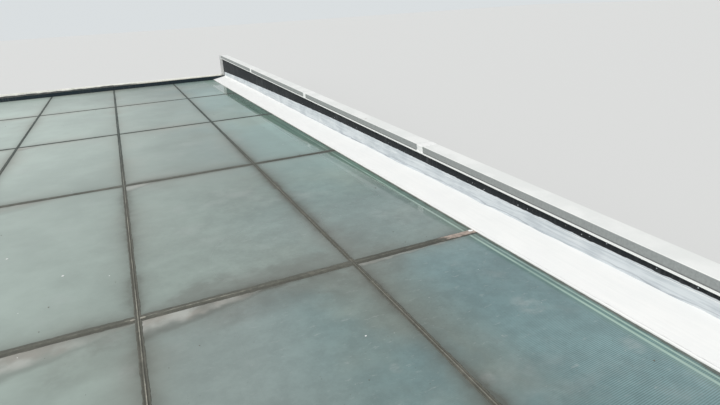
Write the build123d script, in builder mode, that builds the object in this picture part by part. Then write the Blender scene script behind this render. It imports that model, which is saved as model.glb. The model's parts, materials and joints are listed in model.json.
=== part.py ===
from build123d import *
import os
from math import ceil, hypot

# Roof skylight: one flat field of glass on a steel grid, closed by a kerb across its far end
# and by a flashing and a kerb of growing height along its right side. X runs across the bays,
# Y from the near end to the far end, Z up. The origin lies on the underside of the base plates,
# midway between the two side beams and midway between the two end beams. Millimetres.

# Glass, with its bays measured between joint centre lines from the left edge to the right
left_bay = 1173.0
middle_bay = 1173.0
wide_bay = 1220.0
right_bay = 936.0
row_count = 5
row_pitch = 2485.0
glass_thickness = 17.5
glass_arris = 1.5

# Joints: a bead of sealant each side of a glazing bar's web, on a round backer rod
web_thickness = 5.0
web_recess = 2.0
seal_width = 10.0
seal_depth = 6.5
seal_recess = 1.0
seal_hollow = 0.8
rod_clearance = 0.3
rod_chamfer = 2.75

# Glazing bars, edge angles and the gaskets that the panes lie on
bearing = 12.5
flange_thickness = 4.0
angle_thickness = 4.0
gasket_width = 16.0
gasket_thickness = 6.0
gasket_butt_gap = 0.5

# Steel frame of rectangular tubes
beam_width = 100.0
beam_depth = 150.0
beam_wall = 5.0
beam_corner = 10.0
rafter_width = 60.0
rafter_depth = 100.0
rafter_wall = 4.0
end_cap_thickness = 4.0

# Base plates under the side beams, with an anchor hole in the margin on each side of the beam
plate_side_margin = 50.0
plate_end_margin = 25.0
plate_thickness = 15.0
anchor_hole_diameter = 18.0

# Folded trims on the left and near edges, each bedded on a bead of sealant
trim_thickness = 2.0
trim_bend = 3.0
trim_cover = 40.0
trim_drop = 90.0
trim_stand_off = 6.0
bed_thickness = 4.0
bed_width = 10.0

# Far kerb, and the mortar capping along its top, which is higher at its left end
far_kerb_height = 78.0
far_kerb_cover = 48.0
far_kerb_thickness = 2.0
far_kerb_corner = 25.0
capping_left_height = 66.0
capping_right_height = 28.0
capping_depth = 45.0
capping_bevel = 12.0

# Side flashing, from the glass up to the side kerb, and the membrane over its upturn
flashing_cover = 45.0
flashing_run = 267.0
flashing_fold_height = 61.0
flashing_upturn = 71.0
flashing_thickness = 3.0
flashing_bend = 4.0
membrane_thickness = 1.5
membrane_lap = 30.0

# Side kerb: its drip line rises from the near end to the far end
kerb_drip_near = 151.0
kerb_drip_far = 444.0
kerb_sheet_thickness = 2.0
kerb_back_lap = 45.0
post_length = 50.0
post_end_gap = 25.0
post_wall = 3.0
cap_thickness = 2.0
cap_bend = 3.0
cap_fascia_height = 69.0
cap_overhang = 18.0
cap_lip_height = 12.5
cap_lip_thickness = 4.0
cap_length = 3000.0
cap_first_length = 650.0
cap_butt_gap = 2.0
end_plate_thickness = 2.0
corner_return = 60.0

# Levels, from the underside of the base plates upwards
frame_top = plate_thickness + beam_depth
flange_top = frame_top + flange_thickness
glass_bottom = flange_top + gasket_thickness
glass_top = glass_bottom + glass_thickness
web_top = glass_top - web_recess
seal_top = glass_top - seal_recess
seal_bottom = seal_top - seal_depth
trim_bottom = glass_top - trim_drop

# Offsets from a joint's centre line, and from an edge of the glass
joint_half = web_thickness / 2 + seal_width
flange_half = joint_half + bearing
flange_width = 2 * flange_half
edge_margin = seal_width + angle_thickness + trim_stand_off

# Lines across X
bays = (left_bay, middle_bay, wide_bay, right_bay)
glass_width = sum(bays)
kerb_reach = flashing_run - flashing_cover + kerb_sheet_thickness
side_beam_spacing = edge_margin + glass_width + kerb_reach
left_beam_x = -side_beam_spacing / 2
right_beam_x = side_beam_spacing / 2
frame_left = left_beam_x - beam_width / 2
glass_left = frame_left + edge_margin
glass_right = glass_left + glass_width
joint_x = [glass_left + sum(bays[:i]) for i in range(1, len(bays))]
flashing_edge = glass_right - flashing_cover
kerb_front = flashing_edge + flashing_run
kerb_back = right_beam_x + beam_width / 2 + kerb_sheet_thickness
trim_left = frame_left - trim_thickness

# Lines along Y
glass_length = row_count * row_pitch
glass_near = -glass_length / 2
glass_far = glass_length / 2
joint_y = [glass_near + i * row_pitch for i in range(1, row_count)]
frame_near = glass_near - edge_margin
frame_far = glass_far + edge_margin
beam_y = [frame_near + beam_width / 2, *joint_y, frame_far - beam_width / 2]
far_kerb_front = glass_far - far_kerb_cover


def spans(start, lines, end, clear, end_clear=0.0):
    """Stretches from start to end between the lines, clear of each line and of both ends."""
    lows = [start + end_clear] + [line + clear for line in lines]
    highs = [line - clear for line in lines] + [end - end_clear]
    return list(zip(lows, highs))


def across(y):
    """Upright plane across the skylight at y: its sketches are in X and Z, and extrude to -Y."""
    return Plane.XZ.offset(-y)


def along(x):
    """Upright plane along the skylight at x: its sketches are in Y and Z, and extrude to +X."""
    return Plane.YZ.offset(x)


def beam_section():
    """Draws the section of a beam's tube, rounded at its outer corners."""
    RectangleRounded(beam_width, beam_depth, beam_corner)
    Rectangle(beam_width - 2 * beam_wall, beam_depth - 2 * beam_wall, mode=Mode.SUBTRACT)


def bar_section(width, height):
    """Draws a rectangle that stands on the current locations."""
    Rectangle(width, height, align=(Align.CENTER, Align.MIN))


def edge_angle_lines(edge, outside):
    """Middle and width of an edge angle's flange, and middle of its leg, at an edge of the glass."""
    leg_face = edge + outside * seal_width
    leg_outside = leg_face + outside * angle_thickness
    flange_inside = edge - outside * bearing
    flange_middle = (leg_outside + flange_inside) / 2
    return flange_middle, abs(leg_outside - flange_inside), (leg_outside + leg_face) / 2


def drip_level(y):
    """Level of the side kerb's drip line at y."""
    rise = (kerb_drip_far - kerb_drip_near) * (y - frame_near) / (frame_far - frame_near)
    return glass_top + kerb_drip_near + rise


def finish(part, name):
    """Names a finished piece and writes its file."""
    part.label = name
    export_step(part, f"parts/{name}.step")


os.makedirs("parts", exist_ok=True)

pane_x = spans(glass_left, joint_x, glass_right, joint_half)
pane_y = spans(glass_near, joint_y, glass_far, joint_half)

# Glass panes, one for each bay of each row, with their edges arrised
for row, (y0, y1) in enumerate(pane_y, start=1):
    for bay, (x0, x1) in enumerate(pane_x, start=1):
        with BuildPart() as pane:
            with BuildSketch(Plane.XY.offset(glass_bottom)):
                with Locations(((x0 + x1) / 2, (y0 + y1) / 2)):
                    Rectangle(x1 - x0, y1 - y0)
            extrude(amount=glass_thickness)
            chamfer(pane.faces().filter_by(Axis.Z).edges(), glass_arris)
        finish(pane.part, f"glass_row_{row}_bay_{bay}")

# Side beams, full length apart from the caps welded into their line at both ends
for name, x in (("left", left_beam_x), ("right", right_beam_x)):
    with BuildPart() as side_beam:
        with BuildSketch(across(frame_far - end_cap_thickness)):
            with Locations((x, plate_thickness + beam_depth / 2)):
                beam_section()
        extrude(amount=frame_far - frame_near - 2 * end_cap_thickness)
    finish(side_beam.part, f"side_beam_{name}")

with BuildPart() as beam_end_caps:
    for y in (frame_near + end_cap_thickness, frame_far):
        with BuildSketch(across(y)):
            with Locations(
                (left_beam_x, plate_thickness + beam_depth / 2),
                (right_beam_x, plate_thickness + beam_depth / 2),
            ):
                Rectangle(beam_width, beam_depth - 2 * beam_corner)
                Rectangle(beam_width - 2 * beam_corner, beam_depth)
        extrude(amount=end_cap_thickness)
finish(beam_end_caps.part, "beam_end_caps")

# Cross beams between the side beams, under the two ends and every joint across
cross_beam_start = left_beam_x + beam_width / 2
cross_beam_length = side_beam_spacing - beam_width
for number, y in enumerate(beam_y, start=1):
    with BuildPart() as cross_beam:
        with BuildSketch(along(cross_beam_start)):
            with Locations((y, plate_thickness + beam_depth / 2)):
                beam_section()
        extrude(amount=cross_beam_length)
    finish(cross_beam.part, f"cross_beam_{number}")

# Rafters between the cross beams, under every joint along and under the glass's right edge
rafter_lines = [*joint_x, glass_right + edge_margin - rafter_width / 2]
rafter_spans = spans(beam_y[0], beam_y[1:-1], beam_y[-1], beam_width / 2, beam_width / 2)
for letter, x in zip("abcd", rafter_lines):
    with BuildPart() as rafter_line:
        for y0, y1 in rafter_spans:
            with BuildSketch(across(y1)):
                with Locations((x, frame_top - rafter_depth / 2)):
                    Rectangle(rafter_width, rafter_depth)
                    Rectangle(
                        rafter_width - 2 * rafter_wall,
                        rafter_depth - 2 * rafter_wall,
                        mode=Mode.SUBTRACT,
                    )
            extrude(amount=y1 - y0)
    finish(rafter_line.part, f"rafters_line_{letter}")

# Base plates at both ends of the side beams, and at the second cross beam in from each end
plate_y = sorted({beam_y[0], beam_y[2], beam_y[-3], beam_y[-1]})
with BuildPart() as base_plates:
    with BuildSketch():
        with Locations(*[(x, y) for x in (left_beam_x, right_beam_x) for y in plate_y]):
            Rectangle(beam_width + 2 * plate_side_margin, beam_width + 2 * plate_end_margin)
            with GridLocations(beam_width + plate_side_margin, 0, 2, 1):
                Circle(anchor_hole_diameter / 2, mode=Mode.SUBTRACT)
    extrude(amount=plate_thickness)
finish(base_plates.part, "base_plates")

# Glazing bars along the joints: a flange on the steel and a web up between the panes. The web
# runs on over the end angles' flanges to the edge of the glass.
web_height = web_top - flange_top
for letter, x in zip("abc", joint_x):
    with BuildPart() as glazing_bar:
        with BuildSketch(across(glass_far - bearing)):
            with Locations((x, frame_top)):
                bar_section(flange_width, flange_thickness)
        extrude(amount=glass_length - 2 * bearing)
        with BuildSketch(across(glass_far)):
            with Locations((x, flange_top)):
                bar_section(web_thickness, web_height)
        extrude(amount=glass_length)
    finish(glazing_bar.part, f"glazing_bar_{letter}")

# Glazing bars across: coped between the long bars' flanges, with the top of the web running on
# over the long gaskets to the panes' edges
cross_flange_x = spans(glass_left, joint_x, glass_right, flange_half, bearing)
with BuildPart() as cross_glazing_bars:
    for flange_span, web_span in zip(cross_flange_x, pane_x):
        with BuildSketch(along(flange_span[0])):
            with Locations(*[(y, frame_top) for y in joint_y]):
                bar_section(flange_width, flange_thickness)
                bar_section(web_thickness, web_top - frame_top)
        extrude(amount=flange_span[1] - flange_span[0])
        with BuildSketch(along(web_span[0])):
            with Locations(*[(y, glass_bottom) for y in joint_y]):
                bar_section(web_thickness, web_top - glass_bottom)
        extrude(amount=web_span[1] - web_span[0])
finish(cross_glazing_bars.part, "cross_glazing_bars")

# Edge angles: a flange under the pane and a leg outside it. Those at the near and far ends run
# through, and the left and right ones have their flanges coped between them.
angle_left = glass_left - seal_width - angle_thickness
angle_right = glass_right + seal_width + angle_thickness
for name, edge, outside in (("near", glass_near, -1), ("far", glass_far, 1)):
    flange_y, flange_wide, leg_y = edge_angle_lines(edge, outside)
    with BuildPart() as edge_angle:
        with BuildSketch(along(angle_left)):
            with Locations((flange_y, frame_top)):
                bar_section(flange_wide, flange_thickness)
            with Locations((leg_y, frame_top)):
                bar_section(angle_thickness, web_top - frame_top)
        extrude(amount=angle_right - angle_left)
    finish(edge_angle.part, f"edge_angle_{name}")

for name, edge, outside in (("left", glass_left, -1), ("right", glass_right, 1)):
    flange_x, flange_wide, leg_x = edge_angle_lines(edge, outside)
    with BuildPart() as edge_angle:
        with BuildSketch(across(glass_far - bearing)):
            with Locations((flange_x, frame_top)):
                bar_section(flange_wide, flange_thickness)
        extrude(amount=glass_length - 2 * bearing)
        with BuildSketch(across(glass_far + seal_width)):
            with Locations((leg_x, flange_top)):
                bar_section(angle_thickness, web_height)
        extrude(amount=glass_length + 2 * seal_width)
    finish(edge_angle.part, f"edge_angle_{name}")

# Gaskets on the flanges. The long strips run through, and the cross strips butt against them.
gasket_offset = flange_half - gasket_width / 2
gasket_inset = bearing - gasket_width / 2
long_gasket_x = [x + side * gasket_offset for x in joint_x for side in (-1, 1)]
long_gasket_x += [glass_left + gasket_inset, glass_right - gasket_inset]
cross_gasket_y = [y + side * gasket_offset for y in joint_y for side in (-1, 1)]
cross_gasket_y += [glass_near + gasket_inset, glass_far - gasket_inset]
gasket_overrun = gasket_width - bearing
with BuildPart() as glass_gaskets:
    with BuildSketch(across(glass_far + gasket_overrun)):
        with Locations(*[(x, flange_top) for x in long_gasket_x]):
            bar_section(gasket_width, gasket_thickness)
    extrude(amount=glass_length + 2 * gasket_overrun)
    for x0, x1 in cross_flange_x:
        with BuildSketch(along(x0 + gasket_butt_gap)):
            with Locations(*[(y, flange_top) for y in cross_gasket_y]):
                bar_section(gasket_width, gasket_thickness)
        extrude(amount=x1 - x0 - 2 * gasket_butt_gap)
finish(glass_gaskets.part, "glass_gaskets")

# Sealant beads with a tooled, hollow top: one each side of every web, and one all round
bead_offset = web_thickness / 2 + seal_width / 2
long_bead_x = [x + side * bead_offset for x in joint_x for side in (-1, 1)]
cross_bead_y = [y + side * bead_offset for y in joint_y for side in (-1, 1)]
edge_bead_x = [glass_left - seal_width / 2, glass_right + seal_width / 2]
edge_bead_y = [glass_near - seal_width / 2, glass_far + seal_width / 2]

with BuildSketch() as bead_section:
    with BuildLine():
        left_top = (-seal_width / 2, seal_top)
        right_top = (seal_width / 2, seal_top)
        ThreePointArc(left_top, (0, seal_top - seal_hollow), right_top)
        Polyline(
            right_top,
            (seal_width / 2, seal_bottom),
            (-seal_width / 2, seal_bottom),
            left_top,
        )
    make_face()

with BuildPart() as long_joint_seals:
    with BuildSketch(across(glass_far)):
        with Locations(*[(x, 0) for x in long_bead_x]):
            add(bead_section.sketch)
    extrude(amount=glass_length)
finish(long_joint_seals.part, "long_joint_seals")

with BuildPart() as cross_joint_seals:
    for x0, x1 in pane_x:
        with BuildSketch(along(x0)):
            with Locations(*[(y, 0) for y in cross_bead_y]):
                add(bead_section.sketch)
        extrude(amount=x1 - x0)
finish(cross_joint_seals.part, "cross_joint_seals")

with BuildPart() as edge_seals:
    with BuildSketch(across(glass_far)):
        with Locations(*[(x, 0) for x in edge_bead_x]):
            add(bead_section.sketch)
    extrude(amount=glass_length)
    with BuildSketch(along(glass_left - seal_width)):
        with Locations(*[(y, 0) for y in edge_bead_y]):
            add(bead_section.sketch)
    extrude(amount=glass_width + 2 * seal_width)
finish(edge_seals.part, "edge_seals")

# Backer rods, squeezed between the sides of the joint, the gaskets' level and the bead
with BuildSketch() as rod_section:
    with Locations((0, (glass_bottom + seal_bottom) / 2)):
        Rectangle(
            seal_width - 2 * rod_clearance,
            seal_bottom - glass_bottom - 2 * rod_clearance,
        )
    chamfer(rod_section.vertices(), rod_chamfer)

with BuildPart() as backer_rods:
    with BuildSketch(across(glass_far)):
        with Locations(*[(x, 0) for x in long_bead_x + edge_bead_x]):
            add(rod_section.sketch)
    extrude(amount=glass_length)
    for x0, x1 in pane_x:
        with BuildSketch(along(x0)):
            with Locations(*[(y, 0) for y in cross_bead_y]):
                add(rod_section.sketch)
        extrude(amount=x1 - x0)
    with BuildSketch(along(glass_left - seal_width + rod_clearance)):
        with Locations(*[(y, 0) for y in edge_bead_y]):
            add(rod_section.sketch)
    extrude(amount=glass_width + 2 * (seal_width - rod_clearance))
finish(backer_rods.part, "backer_rods")

# Left trim: a folded sheet over the glass edge and down the side beam
with BuildPart() as left_trim:
    with BuildSketch(across(far_kerb_front)):
        with BuildLine():
            fold = FilletPolyline(
                (glass_left + trim_cover, glass_top + bed_thickness),
                (frame_left, glass_top + bed_thickness),
                (frame_left, trim_bottom),
                radius=trim_bend,
            )
            offset(fold, amount=trim_thickness, side=Side.RIGHT)
        make_face()
    extrude(amount=far_kerb_front - frame_near)
finish(left_trim.part, "left_trim")

# Near trim: the same fold along the near edge, notched round the left trim at the corner
with BuildPart() as near_trim:
    with BuildSketch(along(trim_left)):
        with BuildLine():
            fold = FilletPolyline(
                (glass_near + trim_cover, glass_top + bed_thickness),
                (frame_near, glass_top + bed_thickness),
                (frame_near, trim_bottom),
                radius=trim_bend,
            )
            offset(fold, amount=trim_thickness, side=Side.RIGHT)
        make_face()
    extrude(amount=flashing_edge - trim_left)
    with BuildSketch(Plane.XY.offset(trim_bottom)):
        with Locations((trim_left, frame_near)):
            Rectangle(
                glass_left + trim_cover - trim_left,
                trim_cover + edge_margin,
                align=(Align.MIN, Align.MIN),
            )
    extrude(amount=trim_drop + bed_thickness + trim_thickness, mode=Mode.SUBTRACT)
finish(near_trim.part, "near_trim")

# Far kerb: a box of folded sheet, open below, whose front stands on the glass
with BuildPart() as far_kerb:
    far_kerb_top = glass_top + far_kerb_height
    with BuildSketch(across(frame_far + far_kerb_thickness)) as elevation:
        with Locations((trim_left, trim_bottom)):
            Rectangle(
                kerb_front - trim_left,
                far_kerb_top - trim_bottom,
                align=(Align.MIN, Align.MIN),
            )
        fillet(elevation.vertices().group_by(Axis.Y)[-1].sort_by(Axis.X)[-1], far_kerb_corner)
    extrude(amount=frame_far + far_kerb_thickness - far_kerb_front)
    offset(amount=-far_kerb_thickness, openings=far_kerb.faces().sort_by(Axis.Z)[0])
    with BuildSketch(Plane.XY.offset(trim_bottom)):
        with Locations((trim_left + far_kerb_thickness, far_kerb_front)):
            Rectangle(
                kerb_front - trim_left - far_kerb_thickness,
                frame_far - far_kerb_front,
                align=(Align.MIN, Align.MIN),
            )
    extrude(amount=trim_drop + bed_thickness, mode=Mode.SUBTRACT)
finish(far_kerb.part, "far_kerb")

# Mortar capping on the far kerb, up to the side kerb's corner: its front edge is bevelled
with BuildPart() as far_kerb_capping:
    capping_front = frame_far - capping_depth
    for x, height in (
        (trim_left, capping_left_height),
        (kerb_front - corner_return, capping_right_height),
    ):
        capping_top = far_kerb_top + height
        with BuildSketch(along(x)):
            with BuildLine():
                Polyline(
                    (frame_far, far_kerb_top),
                    (frame_far, capping_top),
                    (capping_front + capping_bevel, capping_top),
                    (capping_front, capping_top - capping_bevel),
                    (capping_front, far_kerb_top),
                    close=True,
                )
            make_face()
    loft()
finish(far_kerb_capping.part, "far_kerb_capping")

# Side flashing: from a bed on the glass it rises to the kerb and turns up against it, and its
# near end is turned down over the frame
flashing_start = (flashing_edge, glass_top + bed_thickness + flashing_thickness)
flashing_fold = (kerb_front - flashing_thickness, glass_top + flashing_fold_height)
flashing_top = (flashing_fold[0], flashing_fold[1] + flashing_upturn)
flashing_slope = (flashing_fold[1] - flashing_start[1]) / (flashing_fold[0] - flashing_start[0])
flashing_drop = flashing_thickness * hypot(1, flashing_slope)


def flashing_underside(x):
    """Level of the flashing's lower face at x, between its lower edge and the kerb."""
    return flashing_start[1] + flashing_slope * (x - flashing_start[0]) - flashing_drop


with BuildPart() as side_flashing:
    with BuildSketch(across(far_kerb_front)):
        with BuildLine():
            fold = FilletPolyline(
                flashing_start, flashing_fold, flashing_top, radius=flashing_bend
            )
            offset(fold, amount=flashing_thickness, side=Side.RIGHT)
        make_face()
    extrude(amount=far_kerb_front - frame_near + flashing_thickness)
    with BuildSketch(across(frame_near)):
        with BuildLine():
            outside = flashing_edge + flashing_thickness
            inside = kerb_front - flashing_thickness - flashing_bend
            Polyline(
                (outside, trim_bottom),
                (inside, trim_bottom),
                (inside, flashing_underside(inside)),
                (outside, flashing_underside(outside)),
                close=True,
            )
        make_face()
    extrude(amount=flashing_thickness)
finish(side_flashing.part, "side_flashing")

# Beds of sealant under the trims, the far kerb and the flashing
left_bed = glass_left + trim_cover - bed_width
near_bed = glass_near + trim_cover - bed_width
with BuildPart() as trim_beds:
    with BuildSketch(Plane.XY.offset(glass_top)):
        with Locations((left_bed, near_bed)):
            Rectangle(bed_width, far_kerb_front - near_bed, align=(Align.MIN, Align.MIN))
            Rectangle(flashing_edge - left_bed, bed_width, align=(Align.MIN, Align.MIN))
        with Locations((glass_left, far_kerb_front)):
            Rectangle(glass_width, bed_width, align=(Align.MIN, Align.MIN))
    extrude(amount=bed_thickness)
    with BuildSketch(across(far_kerb_front)):
        with BuildLine():
            bed_right = flashing_edge + bed_width
            Polyline(
                (flashing_edge, glass_top),
                (bed_right, glass_top),
                (bed_right, flashing_underside(bed_right)),
                (flashing_edge, flashing_underside(flashing_edge)),
                close=True,
            )
        make_face()
    extrude(amount=far_kerb_front - glass_near)
finish(trim_beds.part, "trim_beds")

# Membrane lapped over the flashing's fold and upturn
with BuildPart() as membrane_upturn:
    lap_start = flashing_fold[0] - membrane_lap
    with BuildSketch(across(far_kerb_front)):
        with BuildLine():
            fold = FilletPolyline(
                (lap_start, flashing_fold[1] - flashing_slope * membrane_lap),
                flashing_fold,
                flashing_top,
                radius=flashing_bend,
            )
            offset(fold, amount=membrane_thickness, side=Side.LEFT)
        make_face()
    extrude(amount=far_kerb_front - frame_near)
finish(membrane_upturn.part, "membrane_upturn")

# Posts of the side kerb, square cut, each as tall as the cap is at its nearer side. They stand
# on the cross beams' lines, and near the kerb's two ends.
cap_rise = cap_fascia_height - cap_thickness
end_post_inset = post_end_gap + post_length / 2
with BuildPart() as kerb_posts:
    for y in (frame_near + end_post_inset, *joint_y, frame_far - end_post_inset):
        with BuildSketch(Plane.XY.offset(frame_top)):
            with Locations((right_beam_x, y)):
                Rectangle(beam_width, post_length)
                Rectangle(
                    beam_width - 2 * post_wall, post_length - 2 * post_wall, mode=Mode.SUBTRACT
                )
        extrude(amount=drip_level(y - post_length / 2) + cap_rise - frame_top)
finish(kerb_posts.part, "kerb_posts")

# Sheets on both sides of the posts, cut to the rise of the cap
for name, x, foot in (
    ("kerb_face", kerb_front, frame_top),
    ("kerb_back", kerb_back - kerb_sheet_thickness, frame_top - kerb_back_lap),
):
    with BuildPart() as kerb_sheet:
        with BuildSketch(along(x)):
            with BuildLine():
                Polyline(
                    (frame_near, foot),
                    (frame_far, foot),
                    (frame_far, drip_level(frame_far) + cap_rise),
                    (frame_near, drip_level(frame_near) + cap_rise),
                    close=True,
                )
            make_face()
        extrude(amount=kerb_sheet_thickness)
    finish(kerb_sheet.part, name)

# Cap: a folded sheet with a drip lip along the foot of each fascia, in stock lengths that
# follow a short first one. The last length is cut to fit.
cap_cuts = ceil((frame_far - frame_near - cap_first_length) / cap_length)
cap_joints = [frame_near + cap_first_length + i * cap_length for i in range(cap_cuts)]
cap_front = kerb_front - cap_overhang
cap_back = kerb_back + cap_overhang
with BuildPart() as kerb_cap:
    for y0, y1 in zip(
        (frame_near, *(y + cap_butt_gap / 2 for y in cap_joints)),
        (*(y - cap_butt_gap / 2 for y in cap_joints), frame_far),
    ):
        foot = drip_level(y0)
        rise = drip_level(y1) - foot
        with BuildSketch(across(y0)):
            with BuildLine():
                fold = FilletPolyline(
                    (cap_front, foot),
                    (cap_front, foot + cap_rise),
                    (cap_back, foot + cap_rise),
                    (cap_back, foot),
                    radius=cap_bend,
                )
                offset(fold, amount=cap_thickness, side=Side.LEFT)
            make_face()
            lip_offset = cap_thickness + cap_lip_thickness / 2
            with Locations((cap_front - lip_offset, foot), (cap_back + lip_offset, foot)):
                Rectangle(cap_lip_thickness, cap_lip_height, align=(Align.CENTER, Align.MIN))
        extrude(amount=hypot(y1 - y0, rise), dir=(0, y1 - y0, rise))
finish(kerb_cap.part, "kerb_cap")

# Plates that close the side kerb's ends. The far one stands out in front of the kerb's face.
plate_reach = cap_overhang + cap_thickness + cap_lip_thickness
with BuildPart() as kerb_end_near:
    with BuildSketch(across(frame_near)):
        with Locations((kerb_front, trim_bottom)):
            Rectangle(
                kerb_back - kerb_front,
                drip_level(frame_near) - trim_bottom,
                align=(Align.MIN, Align.MIN),
            )
        with Locations((kerb_front - plate_reach, drip_level(frame_near))):
            Rectangle(
                kerb_back - kerb_front + 2 * plate_reach,
                cap_fascia_height,
                align=(Align.MIN, Align.MIN),
            )
    extrude(amount=end_plate_thickness)
finish(kerb_end_near.part, "kerb_end_near")

with BuildPart() as kerb_end_far:
    with BuildSketch(across(frame_far + end_plate_thickness)):
        with Locations((kerb_front, trim_bottom)):
            Rectangle(
                kerb_back - kerb_front,
                drip_level(frame_far) - trim_bottom,
                align=(Align.MIN, Align.MIN),
            )
        with Locations((kerb_front - corner_return, glass_top + far_kerb_height)):
            Rectangle(
                kerb_back - kerb_front + corner_return + plate_reach,
                drip_level(frame_far) + cap_fascia_height - glass_top - far_kerb_height,
                align=(Align.MIN, Align.MIN),
            )
    extrude(amount=end_plate_thickness)
finish(kerb_end_far.part, "kerb_end_far")
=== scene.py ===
"""Roof skylight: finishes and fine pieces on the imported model, in metres, in the model's frame."""

import json
import logging
from collections.abc import Sequence
from dataclasses import dataclass
from enum import Enum
from functools import reduce
from math import cos, hypot, pi, radians, sin
from typing import Any

import bmesh
import bpy
import numpy as np
from mathutils import Matrix, Vector, noise


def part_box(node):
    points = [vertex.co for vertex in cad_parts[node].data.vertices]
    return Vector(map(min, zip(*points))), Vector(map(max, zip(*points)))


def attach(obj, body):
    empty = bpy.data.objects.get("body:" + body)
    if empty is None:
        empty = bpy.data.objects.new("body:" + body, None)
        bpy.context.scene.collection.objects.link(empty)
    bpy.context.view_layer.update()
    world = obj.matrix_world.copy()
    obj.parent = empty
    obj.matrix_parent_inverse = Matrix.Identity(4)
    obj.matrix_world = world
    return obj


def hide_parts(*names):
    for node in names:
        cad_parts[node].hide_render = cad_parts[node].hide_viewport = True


Colour = tuple[float, float, float]
Point = tuple[float, float, float]
Pair = tuple[float, float]
Material = bpy.types.Material
Socket = bpy.types.NodeSocket
Feed = float | Sequence[float] | bpy.types.NodeSocket

BODY = "root"
log = logging.getLogger("roof_skylight")
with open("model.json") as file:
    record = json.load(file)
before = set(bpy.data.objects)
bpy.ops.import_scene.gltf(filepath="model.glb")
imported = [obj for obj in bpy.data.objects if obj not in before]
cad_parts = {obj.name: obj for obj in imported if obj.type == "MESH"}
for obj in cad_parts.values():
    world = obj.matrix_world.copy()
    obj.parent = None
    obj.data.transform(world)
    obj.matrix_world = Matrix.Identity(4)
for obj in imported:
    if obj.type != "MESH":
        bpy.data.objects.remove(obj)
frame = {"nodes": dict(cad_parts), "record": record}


class Side(Enum):
    """The way that a face of the skylight looks."""

    LEFT = (-1.0, 0.0, 0.0)
    RIGHT = (1.0, 0.0, 0.0)
    NEAR = (0.0, -1.0, 0.0)
    FAR = (0.0, 1.0, 0.0)
    UP = (0.0, 0.0, 1.0)


# Node trees


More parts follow.
